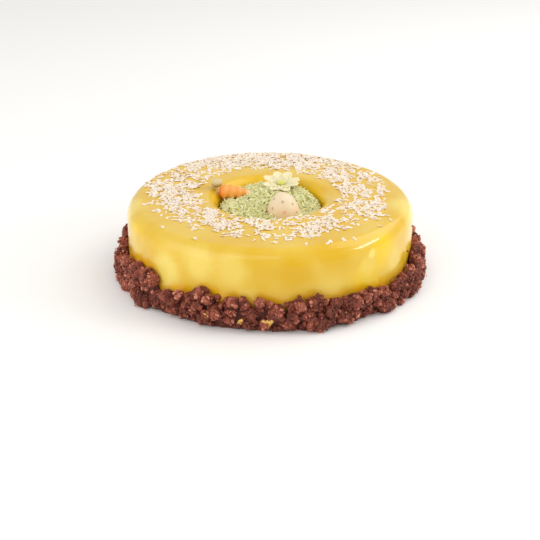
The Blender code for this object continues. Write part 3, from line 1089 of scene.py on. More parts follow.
@dataclass
class CoconutRing:
    """White coconut strewn in clumps over the top, with strays towards the edge."""

    form: CakeForm
    count: int = 3100
    lengths: Point = (2.3 * MM, 5.0 * MM)
    broken: tuple[float, ...] = (1.0, 1.0, 1.0, 0.7)
    shreds: Shreds = Shreds(
        name="white_coconut",
        forms=((18, 10), (-26, -18), (42, 24), (8, -30), (-50, 12)),
        widths=(0.9 * MM, 1.9 * MM),
        thickness=0.32 * MM,
        thicker=(0.8, 1.3),
        steep=0.13,
        roll=0.26,
        lift=0.3,
        tones=(0.3, 1.0),
    )
    clump: float = 7 * MM
    finer: float = 2.4
    fine_share: float = 0.6
    clump_ends: Point = (-0.22, 0.44)
    least: float = 0.20
    ragged: float = 4 * MM
    ragged_lobes: float = 6
    inner_fade: Point = (-2 * MM, 6 * MM)
    outer_fade: float = 7 * MM
    # Where the back gets fuller and the front thinner, and by how much.
    back: Point = (50 * MM, 66 * MM)
    back_fill: float = 0.9
    front: Point = (20 * MM, 62 * MM)
    front_loss: float = 0.40
    thick_fill: float = 0.65
    bare_loss: float = 0.86
    # Direction in degrees from +X, and where the ring starts there in millimetres.
    inner_line: tuple[Point, ...] = (
        (0, 47), (45, 50), (90, 54), (135, 57), (160, 51), (180, 48), (225, 46), (270, 43),
        (315, 43), (360, 47),
    )
    # Direction in degrees from +X, and where the ring ends there in millimetres.
    outer_line: tuple[Point, ...] = (
        (0, 86), (45, 92), (90, 98), (135, 98), (152, 97), (165, 93), (180, 88), (200, 85),
        (225, 82), (270, 81), (315, 85), (360, 86),
    )
    bare: tuple[Patch, ...] = (
        Patch(-77, -14, 4), Patch(-74, 35, 6), Patch(-49, 55, 5), Patch(-50, 42, 5),
        Patch(-57, 33, 5), Patch(-66, 58, 4), Patch(-56, -54, 5), Patch(-38, -70, 7),
        Patch(-15, -62, 5), Patch(5, -68, 6), Patch(-14, -74, 6), Patch(14, -58, 4),
        Patch(48, -54, 5), Patch(58, -40, 4), Patch(62, -50, 6), Patch(40, 63, 5),
        Patch(-20, 57, 4), Patch(-4, 60, 5), Patch(15, 56, 5), Patch(60, 20, 4),
        Patch(74, 12, 4), Patch(56, -8, 4), Patch(-52, 8, 6),
    )
    thick: tuple[Patch, ...] = (
        Patch(-28, -55, 8), Patch(-3, -57, 7), Patch(31, -58, 9), Patch(26, -68, 7),
        Patch(-61, -16, 13), Patch(-66, 2, 8), Patch(66, -22, 10), Patch(46, 47, 9),
        Patch(4, 76, 16), Patch(-32, 74, 14), Patch(36, 70, 10), Patch(38, -44, 5),
    )
    strays: tuple[Point, ...] = (
        (2, -84), (3.5, -83), (23, -86), (37, -84), (39, -82), (-48, -77), (-10, -80),
        (-4, -79), (12, -80), (54, -76), (47, -79), (-70, -58), (72, -56), (80, -45),
        (-86, -18),
    )

    def chance(self, x: float, y: float) -> float:
        """How likely a flake lies at a place, from 0 to 1."""
        away = math.hypot(x, y)
        turn = math.atan2(y, x)
        ragged = self.ragged * noise.noise(polar(turn, self.ragged_lobes, 3.0))
        start = around(self.inner_line, x, y) * MM + ragged
        end = around(self.outer_line, x, y) * MM + ragged
        inside = ramp(away, start + self.inner_fade[0], start + self.inner_fade[1])
        outside = ramp(away, end, end - self.outer_fade)
        across, along = x / self.clump, y / self.clump
        clumps = noise.noise(Vector((across, along, 7.3)))
        fine = noise.noise(Vector((across * self.finer, along * self.finer, 1.7)))
        filled = ramp(clumps + self.fine_share * fine, *self.clump_ends)
        base = self.least + (1 - self.least) * filled
        base += (1.0 - base) * self.back_fill * ramp(y, *self.back)
        base *= 1 - self.front_loss * ramp(-y, *self.front)
        rich = max(patch.cover(x, y) for patch in self.thick)
        poor = max(patch.cover(x, y) for patch in self.bare)
        base = base + (1.0 - base) * self.thick_fill * rich
        return inside * outside * base * (1 - self.bare_loss * poor)

    def build(self) -> None:
        """Strew the flakes and dress them."""
        rng = random.Random(5)
        bed = Bed(self.form.top, self.form.radius)
        flakes = self.shreds.strew(self._strips(rng), bed, rng)
        coconut = ShreddedCoconut(
            "white coconut", srgb(254, 241, 224), srgb(248, 220, 188), srgb(246, 206, 146)
        )
        Bench.hand_over(flakes, coconut.material(), "white_coconut")

    def _strips(self, rng: random.Random) -> Iterator[Strip]:
        """Choose each flake's place, heading and length."""
        for x, y in self._places(rng):
            heading = rng.uniform(0, math.pi)
            yield x, y, heading, rng.uniform(*self.lengths) * rng.choice(self.broken)

    def _places(self, rng: random.Random) -> Iterator[Point]:
        """Choose a place for each flake, thick in the clumps and thin between them."""
        found = 0
        reach = self.form.radius
        while found < self.count:
            x = rng.uniform(-reach, reach)
            y = rng.uniform(-reach, reach)
            if rng.random() < self.chance(x, y):
                found += 1
                yield x, y
        for x, y in self.strays:
            yield x * MM, y * MM


def shred_form(bend: float, twist: float) -> Form:
    """Model one coconut shred by hand: a thin strip, thickened, tapered, bent and twisted.

    Args:
        bend: How far it bends over its length, in degrees.
        twist: How far it twists, in degrees.

    Returns:
        The form, about 1 long, 1 wide and 1 thick.
    """
    Bench.clear()
    bpy.ops.mesh.primitive_grid_add(x_subdivisions=3, y_subdivisions=1, size=1.0)
    strip = bpy.context.object
    strip.scale = (1.0, 0.25, 1.0)
    Bench.bake(strip)
    Bench.modify(strip, "SOLIDIFY", thickness=0.12, offset=0.0)
    steps = (
        ("TAPER", "X", "factor", 0.45),
        ("TWIST", "X", "angle", math.radians(twist)),
        ("BEND", "Z", "angle", math.radians(bend)),
    )
    for method, axis, name, value in steps:
        settings = {"deform_method": method, "deform_axis": axis, name: value}
        Bench.modify(strip, "SIMPLE_DEFORM", **settings)
    strip.scale = (1.0, 4.0, 8.0)
    Bench.bake(strip)
    return Form.of(strip)


def ball_form(subdivisions: int) -> Form:
    """Model a ball of radius 1 with triangle faces.

    Args:
        subdivisions: How finely it is divided.

    Returns:
        The form.
    """
    Bench.clear()
    bpy.ops.mesh.primitive_ico_sphere_add(subdivisions=subdivisions, radius=1.0)
    return Form.of(bpy.context.object)


def bead_form(segments: int, rings: int) -> Form:
    """Model a coarse bead of radius 1.

    Args:
        segments: How many sides it has round its axis.
        rings: How many bands it has from pole to pole.

    Returns:
        The form.
    """
    Bench.clear()
    bpy.ops.mesh.primitive_uv_sphere_add(segments=segments, ring_count=rings, radius=1.0)
    return Form.of(bpy.context.object)


@dataclass(frozen=True)
class Clod:
    """One lump of crumble: its middle and its mean radius."""

    middle: Vector
    radius: float


@dataclass(frozen=True)
class Crumbs:
    """One kind of crumb: how many, how large, and how far out on a clod it sits."""

    name: str
    count: int
    sizes: Point
    sides: tuple[int, int]
    depth: Point


@dataclass
class CrumbleCollar:
    """The crumble pressed round the foot: a core painted dark as shade between the clods, knobbly
    clods and loose grains.
    """

    cake: CakeForm
    core_radius: float = 105.4 * MM
    core_tuck: float = 3.2 * MM
    core_drop: float = 5.5 * MM
    core_height: float = 20 * MM
    core_relief: Point = (2.2 * MM, 1.4 * MM)
    # The core's inner and outer side: millimetres outwards, and share of the height.
    core_inside: tuple[Point, ...] = ((0, 0.0), (0, 0.92), (2.0, 1.0))
    core_outside: tuple[Point, ...] = ((-1.5, 0.88), (0, 0.55), (-1.0, 0.0))
    gap: float = 0.3 * MM
    steps: int = 400
    # Direction in degrees from +X, and how high the crumble is heaped there in millimetres.
    top_line: tuple[Point, ...] = (
        (0, 21.0), (20, 20.0), (50, 23.0), (80, 20.0), (110, 23.0), (140, 20.5), (165, 23.0),
        (195, 20.0), (204, 24.0), (215, 28.5), (222, 26.0), (226, 15.0), (236, 21.5),
        (240, 20.5), (245, 26.5), (253, 21.5), (258, 23.5), (263, 20.0), (266, 23.5),
        (274, 19.0), (285, 24.0), (294, 19.5), (304, 20.5), (315, 17.5), (334, 17.5),
        (343, 24.5), (360, 21.0),
    )
    # Direction, and how the heap meets the ground there: 0 tucked up, 1 spread out.
    spread_line: tuple[Point, ...] = (
        (0, 1.0), (195, 0.9), (212, 0.9), (219, 1.2), (223, 0.7), (226, 0.1), (238, 0.0),
        (245, 0.4), (252, 0.2), (258, 0.0), (266, 0.0), (274, 0.3), (280, 0.2), (284, 0.9),
        (289, 0.9), (294, 0.5), (297, 0.7), (303, 0.3), (309, 0.2), (314, 1.0), (360, 1.0),
    )
    # Each row of clods: how many, share of the way up, and how much larger they are.
    rows: tuple[tuple[int, float, float], ...] = ((48, 0.0, 1.0), (50, 0.5, 0.96), (58, 1.0, 0.86))
    # Distance from the axis, height of the lowest row and radius of a clod, in millimetres.
    tucked: tuple[float, float, float] = (103.2, 7.4, 4.3)
    spread: tuple[float, float, float] = (105.2, 4.6, 5.2)
    top_distance: float = 103.6
    # How unevenly a row lies: as a share of its gaps, and up and outwards in millimetres.
    row_along: float = 0.32
    row_up: Point = (-1.3, 0.6)
    row_out: Point = (-0.8, 0.9)
    row_sizes: tuple[float, ...] = (0.74, 0.9, 1.0, 1.1, 1.22)
    row_growth: Point = (0.95, 1.05)
    settle: float = 0.35
    least_up: float = 0.7
    # Small clods between the rows, which lean in above a height, and low lumps at the foot.
    small_count: int = 330
    small_radii: Point = (1.6, 2.9)
    small_up: Point = (2.0, -1.5)
    small_out: Point = (-0.8, 2.6)
    small_lean: float = 0.3
    lean_from: float = 12
    low_count: int = 250
    low_radii: Point = (1.5, 2.2)
    low_in: Point = (0.0, 0.8)
    low_up: Point = (0.8, 1.6)
    # Clods from this radius on are divided finely, smaller ones coarsely.
    large: float = 3.6 * MM
    large_detail: int = 4
    small_detail: int = 3
    # Width and depth of the lumps' relief in millimetres.
    relief: tuple[Point, ...] = ((3.4, 2.4), (1.1, 1.5))
    lump_sides: Point = (0.8, 1.1)
    lump_tone: float = 0.55
    crumb_sides: Point = (0.55, 1.45)
    crumb_tones: Point = (0.35, 1.0)
    crevice_shade_tone: float = 0.15
    # Crumbs sit on a clod's outer side, which leans up, and keep off the cake and the ground.
    outer_lean: float = 0.8
    outer_least: float = -0.1
    crumb_room: float = 0.8
    # Clods that stand out by themselves: direction, distance, height and radius.
    outstanding: tuple[tuple[float, float, float, float], ...] = (
        (217.5, 106.8, 5.4, 5.0), (220.5, 107.6, 3.6, 3.4), (214.0, 104.8, 20.5, 4.6),
        (244.5, 103.0, 21.8, 4.4), (284.5, 105.8, 6.2, 5.2), (288.5, 106.4, 5.4, 4.6),
        (285.5, 103.8, 18.6, 4.6), (301.0, 105.0, 14.6, 5.6), (296.5, 105.4, 6.6, 4.4),
        (314.5, 107.0, 5.2, 4.6), (331.0, 107.2, 6.0, 4.6),
    )
    # Runs of glaze between the clods: direction, distance, height and length.
    smears: tuple[tuple[float, float, float, float], ...] = (
        (247.4, 106.8, 8.4, 3.4), (260.0, 106.6, 8.0, 2.8), (269.3, 106.8, 7.6, 3.4),
        (298.0, 107.6, 7.9, 3.0),
    )
    smear_parts: int = 5
    smear_shape: tuple[float, float, float] = (0.4, 1.0, 0.55)
    # How a smear's parts lie: degrees along, millimetres out and up, sizes, and roll in radians.
    smear_along: Point = (-1.3, 1.3)
    smear_out: Point = (-0.5, 0.3)
    smear_up: Point = (-1.6, 1.6)
    smear_sizes: Point = (0.35, 0.75)
    smear_roll: Point = (-0.8, 0.8)
    smear_relief: Point = (1.6 * MM, 1.6 * MM)
    shade_reach: float = 2.4 * MM
    kinds: tuple[Crumbs, ...] = (
        Crumbs("crumble_nodules", 2600, (0.8 * MM, 1.5 * MM), (7, 5), (0.90, 1.06)),
        Crumbs("crumble_bits", 4200, (0.45 * MM, 0.85 * MM), (6, 4), (0.98, 1.16)),
        Crumbs("crumble_grains", 4200, (0.22 * MM, 0.45 * MM), (5, 3), (1.02, 1.25)),
    )

    def build(self) -> None:
        """Make the core, the clods, the crumbs on them and the glaze that ran between them."""
        rng = random.Random(17)
        self._core()
        clods = list(self._clods(rng))
        material = ChocolateCrumble().material()
        low = list(self._low_clods())
        large = [clod for clod in clods if clod.radius >= self.large]
        small = [clod for clod in clods if clod.radius < self.large]
        self._lumps("crumble_clods", self.large_detail, large, clods + low, material)
        self._lumps("crumble_lumps", self.small_detail, small + low, clods + low, material)
        for kind in self.kinds:
            self._strew(kind, clods, rng, material)
        self._drips()

    def ridge(self, x: float, y: float) -> float:
        """How high the crumble is heaped in the direction of a place, in metres."""
        return around(self.top_line, x, y) * MM

    def _core(self) -> None:
        """Turn the core that closes the gaps between the clods, and raise it to the top line."""
        inner = self.cake.radius + self.gap
        out, height = self.core_radius, self.core_height
        corners = [(inner + across * MM, height * up) for across, up in self.core_inside]
        corners += [(out + across * MM, height * up) for across, up in self.core_outside]
        profile = [corners[0]]
        for start, end in zip(corners, corners[1:]):
            profile += line(start, end, 5) + [end]
        profile += line(corners[-1], corners[0], 3) + [corners[0]]
        core = Bench.spun("crumble_core", profile, self.steps)
        for vertex in core.data.vertices:
            away = vertex.co.xy.length
            tuck = self.core_tuck * (1 - around(self.spread_line, *vertex.co.xy))
            vertex.co.xy *= 1 - tuck * ramp(away, inner, out) / away
            vertex.co.z *= (self.ridge(*vertex.co.xy) - self.core_drop) / height
        # Painted shade: the core gets the lowest tone, so it shows dark in the gaps between clods.
        Bench.mark(core, "tone", [0.0] * len(core.data.vertices))
        Bench.roughen(core, *self.core_relief)
        self._keep_in_bounds(core)
        Bench.polish(core, 40)
        Bench.hand_over(core, ChocolateCrumble().material(), "chocolate_crumble", "crumble_collar")

    def _clods(self, rng: random.Random) -> Iterator[Clod]:
        """Lay out the clods in rows, with small ones between them."""
        for row, (count, share, growth) in enumerate(self.rows):
            for i in range(count):
                along = i + 0.5 * row + rng.uniform(-self.row_along, self.row_along)
                turn = math.tau * along / count
                distance, foot, radius = self._stance(turn)
                size = radius * growth * rng.choice(self.row_sizes) * rng.uniform(*self.row_growth)
                highest = self.ridge(math.cos(turn), math.sin(turn)) / MM - size
                up = foot + (highest - foot) * share + rng.uniform(*self.row_up)
                out = distance + (self.top_distance - distance) * share
                out += rng.uniform(*self.row_out) - self.settle * (size - radius)
                yield self._clod(turn, out, max(up, self.least_up * size), size)
        for _ in range(self.small_count):
            turn = rng.uniform(0, math.tau)
            distance, foot, radius = self._stance(turn)
            top = self.ridge(math.cos(turn), math.sin(turn)) / MM
            up = rng.uniform(foot - radius + self.small_up[0], top + self.small_up[1])
            lean = self.small_lean * max(0.0, up - self.lean_from)
            out = distance + rng.uniform(*self.small_out) - lean
            yield self._clod(turn, out, up, rng.uniform(*self.small_radii))
        for turn, out, up, radius in self.outstanding:
            yield self._clod(math.radians(turn), out, up, radius)

    def _low_clods(self) -> Iterator[Clod]:
        """Lay low lumps along the core's foot, under the rows of clods."""
        rng = random.Random(41)
        for _ in range(self.low_count):
            turn = rng.uniform(0, math.tau)
            share = around(self.spread_line, math.cos(turn), math.sin(turn))
            foot = (self.core_radius - self.core_tuck * (1 - share)) / MM
            radius = rng.uniform(*self.low_radii)
            out = foot - rng.uniform(*self.low_in)
            yield self._clod(turn, out, rng.uniform(*self.low_up) * radius, radius)

    def _stance(self, turn: float) -> list[float]:
        """Distance, foot height and radius of the clods in a direction, in millimetres."""
        share = around(self.spread_line, math.cos(turn), math.sin(turn))
        return [low + (high - low) * share for low, high in zip(self.tucked, self.spread)]

    def _clod(self, turn: float, out: float, up: float, radius: float) -> Clod:
        """Make a clod from its direction in radians and its millimetres."""
        return Clod(polar(turn, out, up) * MM, radius * MM)

    def _open(self, spots: np.ndarray, clods: Sequence[Clod]) -> np.ndarray:
        """How openly each spot lies, from 0 deep between clods to 1 out on a clod's face.

        Args:
            spots: The places, one row each.
            clods: All clods.

        Returns:
            One number for each spot.
        """
        middles = np.array([clod.middle[:] for clod in clods])
        radii = np.array([clod.radius for clod in clods])
        shares = []
        for part in np.array_split(spots, 40):
            gaps = np.linalg.norm(part[:, None, :] - middles[None, :, :], axis=2) - radii
            gaps.sort(axis=1)
            shares.append(np.clip(gaps[:, 1] / self.shade_reach, 0.0, 1.0))
        return np.concatenate(shares)

    def _lumps(
        self,
        name: str,
        detail: int,
        some: Sequence[Clod],
        clods: Sequence[Clod],
        material: bpy.types.Material,
    ) -> None:
        """Make some of the clods as knobbly balls, with painted shade where they press on each
        other.

        Args:
            name: The piece's name.
            detail: How finely each ball is divided.
            some: The clods to make.
            clods: All clods.
            material: The crumble's material.
        """
        rng = random.Random(name)
        form = ball_form(detail)
        heap = Heap(name)
        for clod in some:
            sides = uneven(rng, clod.radius, *self.lump_sides)
            heap.add(form, Matrix.LocRotScale(clod.middle, any_turn(rng), sides), 0.0)
        # Painted shade: each lump's tone falls where it presses on other clods.
        heap.tones = [self.lump_tone * self._open(np.concatenate(heap.corners), clods)]
        lumps = heap.joined()
        for size, depth in self.relief:
            Bench.roughen(lumps, size * MM, depth * MM)
        self._keep_in_bounds(lumps)
        Bench.polish(lumps, 30)
        Bench.hand_over(lumps, material, "chocolate_crumble")

    def _strew(
        self, kind: Crumbs, clods: Sequence[Clod], rng: random.Random, material: bpy.types.Material
    ) -> None:
        """Stick one kind of crumb all over the clods' outer sides.

        Args:
            kind: The crumbs to strew.
            clods: The clods that they stick to.
            rng: The source of their places.
            material: The crumble's material.
        """
        form = bead_form(*kind.sides)
        heap = Heap(kind.name)
        spots, radii = self._perches(kind, clods, rng)
        for spot, radius, share in zip(spots, radii, self._open(spots, clods)):
            if share <= 0.0:
                continue
            sides = uneven(rng, radius, *self.crumb_sides)
            turn = any_turn(rng)
            # Painted shade: crumbs deep between clods get a low tone, which the material turns dark.
            tone = self.crevice_shade_tone + (1 - self.crevice_shade_tone) * share
            tone *= rng.uniform(*self.crumb_tones)
            heap.add(form, Matrix.LocRotScale(Vector(spot), turn, sides), tone)
        crumbs = heap.joined()
        smallest, largest = kind.sizes
        Bench.roughen(crumbs, largest, 0.9 * smallest)
        self._keep_in_bounds(crumbs)
        Bench.polish(crumbs, 25)
        Bench.hand_over(crumbs, material, "chocolate_crumble")

    def _perches(
        self, kind: Crumbs, clods: Sequence[Clod], rng: random.Random
    ) -> tuple[np.ndarray, list[float]]:
        """Choose where crumbs of one kind sit, on the outer sides of the clods.

        Args:
            kind: The crumbs.
            clods: The clods that they stick to.
            rng: The source of their places.

        Returns:
            The places, one row each, and each crumb's radius.
        """
        spots, radii = [], []
        weights = [clod.radius**2 for clod in clods]
        inner = self.cake.radius + self.gap
        while len(spots) < kind.count:
            clod = rng.choices(clods, weights)[0]
            open_side = clod.middle.copy()
            open_side.z = 0.0
            open_side = open_side.normalized() + Vector((0, 0, self.outer_lean))
            way = Vector([rng.gauss(0, 1) for _ in range(3)]).normalized()
            if way.dot(open_side) < self.outer_least:
                way.negate()
            spot = clod.middle + way * clod.radius * rng.uniform(*kind.depth)
            radius = rng.uniform(*kind.sizes)
            least = self.crumb_room * radius
            if spot.xy.length > inner + least and spot.z > least:
                spots.append(spot[:])
                radii.append(radius)
        return np.array(spots), radii

    def _keep_in_bounds(self, obj: bpy.types.Object) -> None:
        """Push corners that reach into the cake or under the ground back out."""
        inner = self.cake.radius + self.gap
        for vertex in obj.data.vertices:
            vertex.co.z = max(0.0, vertex.co.z)
            away = vertex.co.xy.length
            if away < inner:
                vertex.co.xy *= inner / away

    def _drips(self) -> None:
        """Lay the little runs of glaze that show between the clods at the front."""
        rng = random.Random(29)
        form = ball_form(3)
        heap = Heap("glaze_drips")
        for turn, distance, height, length in self.smears:
            for _ in range(self.smear_parts):
                angle = math.radians(turn + rng.uniform(*self.smear_along))
                out = (distance + rng.uniform(*self.smear_out)) * MM
                up = (height + rng.uniform(*self.smear_up)) * MM
                sides = Vector(self.smear_shape) * length * rng.uniform(*self.smear_sizes) * MM
                turned = Euler((rng.uniform(*self.smear_roll), 0, angle))
                heap.add(form, Matrix.LocRotScale(polar(angle, out, up), turned, sides), 0.5)
        drips = heap.joined()
        Bench.roughen(drips, *self.smear_relief)
        Bench.polish(drips)
        # The smear is painted darker low down and lighter higher up: painted shade and light.
        smear = MottledSugar("glaze smear", srgb(176, 116, 44), srgb(236, 192, 98), 6 * MM, 10 * MM)
        Bench.hand_over(drips, smear.material(), "yellow_glaze")


@dataclass(frozen=True)
class MoundForm:
    """The shape of the green mound's top, and where the garnish stands on it."""

    level: float = 45.2 * MM
    slope: float = 0.06
    hill: float = 5.5 * MM
    hill_place: Point = (4 * MM, 18 * MM)
    hill_spread: float = 16 * MM
    edge: float = 35.1 * MM
    edge_drop: float = 1.6 * MM
    rim_start: float = 0.8
    rim_share: float = 0.25

    def top(self, x: float, y: float) -> float:
        """The height of the mound over a place.

        Args:
            x: The place.
            y: The place.

        Returns:
            The height.
        """
        away = (x - self.hill_place[0]) ** 2 + (y - self.hill_place[1]) ** 2
        hill = self.hill * math.exp(-away / (2 * self.hill_spread**2))
        rim = ramp(math.hypot(x, y), self.edge * self.rim_start, self.edge)
        hill *= 1 - self.rim_share * rim
        return self.level + self.slope * y + hill - self.edge_drop * rim


@dataclass
class GreenMound:
    """Green coconut heaped in the well: a rough core under loose shreds."""

    form: MoundForm
    cake: CakeForm
    keep_clear: Callable[[float, float], bool]
    count: int = 1900
    lengths: Point = (2.2 * MM, 4.8 * MM)
    shreds: Shreds = Shreds(
        name="green_shreds",
        forms=((30, 20), (-55, 30), (70, -20), (12, 40)),
        widths=(0.9 * MM, 1.5 * MM),
        thickness=0.7 * MM,
        thicker=(0.7, 1.3),
        steep=0.42,
        roll=0.5,
        lift=0.25,
        tones=(0.2, 1.0),
    )
    bed_margin: float = 4 * MM
    packing: float = 0.45
    spread: float = 0.985
    core_drop: float = 0.7 * MM
    core_steps: tuple[int, int] = (26, 110)
    core_relief: Point = (1.8 * MM, 0.9 * MM)
    core_tone: float = 0.15
    gap: float = 0.3 * MM

    def build(self) -> None:
        """Make the core and strew the shreds over it."""
        coconut = ShreddedCoconut(
            "green coconut", srgb(242, 237, 188), srgb(198, 198, 114), srgb(176, 176, 90)
        )
        material = coconut.material()
        self._core(material)
        rng = random.Random(8)
        bed = Bed(self.form.top, self.form.edge + self.bed_margin, packing=self.packing)
        shreds = self.shreds.strew(self._strips(rng), bed, rng)
        Bench.hand_over(shreds, material, "green_coconut")

    def _core(self, material: bpy.types.Material) -> None:
        """Turn the core, then raise its top to the mound's shape."""
        level = self.form.level
        foot, bend, floor = self.cake.wall_foot, self.cake.bend, self.cake.floor
        outside = (self.form.edge - self.gap, level)
        across, round_axis = self.core_steps
        profile = [(0.0, level)] + line((0.0, level), outside, across) + [outside]
        profile += [(away - self.gap, up + self.gap) for away, up in (foot, bend, floor)]
        profile += [(0.0, floor[1] + self.gap)]
        core = Bench.spun("green_core", profile, round_axis)
        for vertex in core.data.vertices:
            if vertex.co.z > level - 0.1 * MM:
                vertex.co.z = self.form.top(vertex.co.x, vertex.co.y) - self.core_drop
        Bench.roughen(core, *self.core_relief)
        self._tuck_in(core)
        Bench.mark(core, "tone", [self.core_tone] * len(core.data.vertices))
        Bench.polish(core, 40)
        Bench.hand_over(core, material, "green_coconut", "green_coconut")

    def _tuck_in(self, core: bpy.types.Object) -> None:
        """Keep the roughened core inside the well's wall."""
        low = self.cake.wall_foot
        high = (self.cake.mouth - self.cake.lip, self.cake.height - self.cake.lip)
        for vertex in core.data.vertices:
            share = min(1.0, max(0.0, (vertex.co.z - low[1]) / (high[1] - low[1])))
            limit = low[0] + (high[0] - low[0]) * share - self.gap
            away = vertex.co.xy.length
            if away > limit:
                vertex.co.xy *= limit / away

    def _strips(self, rng: random.Random) -> Iterator[Strip]:
        """Choose each shred's place, heading and length, clear of what stands in the mound."""
        found = 0
        while found < self.count:
            radius = self.form.edge * math.sqrt(rng.random()) * self.spread
            turn = rng.uniform(0, math.tau)
            x, y = radius * math.cos(turn), radius * math.sin(turn)
            if not self.keep_clear(x, y):
                found += 1
                heading = rng.uniform(0, math.tau)
                yield x, y, heading, rng.uniform(*self.lengths)


@dataclass
class SugarEgg:
    """The small speckled egg that stands in the coconut, its narrow end up."""

    radius: float = 11.9 * MM
    height: float = 31.2 * MM
    widest: float = 12.5 * MM
    foot: Vector = field(default_factory=lambda: Vector((10.5, -12.5, 28.5)) * MM)
    lean: float = math.radians(-4)
    steps: int = 64
    relief: Point = (9 * MM, 0.5 * MM)
    # Between these heights the shell turns from pink to cream.
    blend: Point = (42 * MM, 53 * MM)
    # Direction in degrees from +X, height over the foot in millimetres, radius and colour.
    specks: tuple[Speck, ...] = (
        Speck(205, 28.3, 0.8, SpeckTint.OLIVE), Speck(270, 27.4, 0.85, SpeckTint.OLIVE),
        Speck(319, 24.9, 0.85, SpeckTint.OLIVE), Speck(223, 22.9, 0.9, SpeckTint.OLIVE),
        Speck(275, 20.9, 0.95, SpeckTint.ORANGE), Speck(326, 18.6, 0.8, SpeckTint.OLIVE),
        Speck(170, 21.0, 0.9, SpeckTint.OLIVE), Speck(140, 25.5, 0.8, SpeckTint.OLIVE),
        Speck(105, 22.0, 0.9, SpeckTint.ORANGE), Speck(70, 25.8, 0.8, SpeckTint.OLIVE),
        Speck(38, 21.5, 0.9, SpeckTint.OLIVE), Speck(8, 24.8, 0.8, SpeckTint.OLIVE),
    )

    def place(self) -> Matrix:
        """Where the egg stands and how it leans."""
        return Matrix.Translation(self.foot) @ Matrix.Rotation(self.lean, 4, "Y")

    def width(self, height: float) -> float:
        """The egg's radius at a height over its foot."""
        down = self.widest if height < self.widest else self.height - self.widest
        share = min(1.0, abs(height - self.widest) / down)
        return self.radius * math.sqrt(1 - share**2)

    def build(self) -> None:
        """Turn the egg and set it down."""
        middle = (0.0, self.widest)
        narrow = arc(middle, self.radius, self.height - self.widest, math.pi / 2, 0.0, 20)
        blunt = arc(middle, self.radius, self.widest, 0.0, -math.pi / 2, 12)
        profile = [(0.0, self.height)] + narrow[1:] + blunt[1:-1] + [(0.0, 0.0)]
        egg = Bench.spun("sugar_egg", profile, self.steps)
        Bench.roughen(egg, *self.relief)
        egg.matrix_world = self.place()
        Bench.bake(egg)
        Bench.polish(egg)
        shell = SpeckledShell(tuple(self._marks()), *self.blend)
        Bench.hand_over(egg, shell.material(), "cream_sugar", "speckled_egg")

    def _marks(self) -> Iterator[tuple[Vector, float, SpeckTint]]:
        """Find each speck's place on the standing egg."""
        for speck in self.specks:
            out = self.width(speck.height * MM)
            spot = polar(math.radians(speck.turn), out, speck.height * MM)
            yield self.place() @ spot, speck.radius * MM, speck.tint


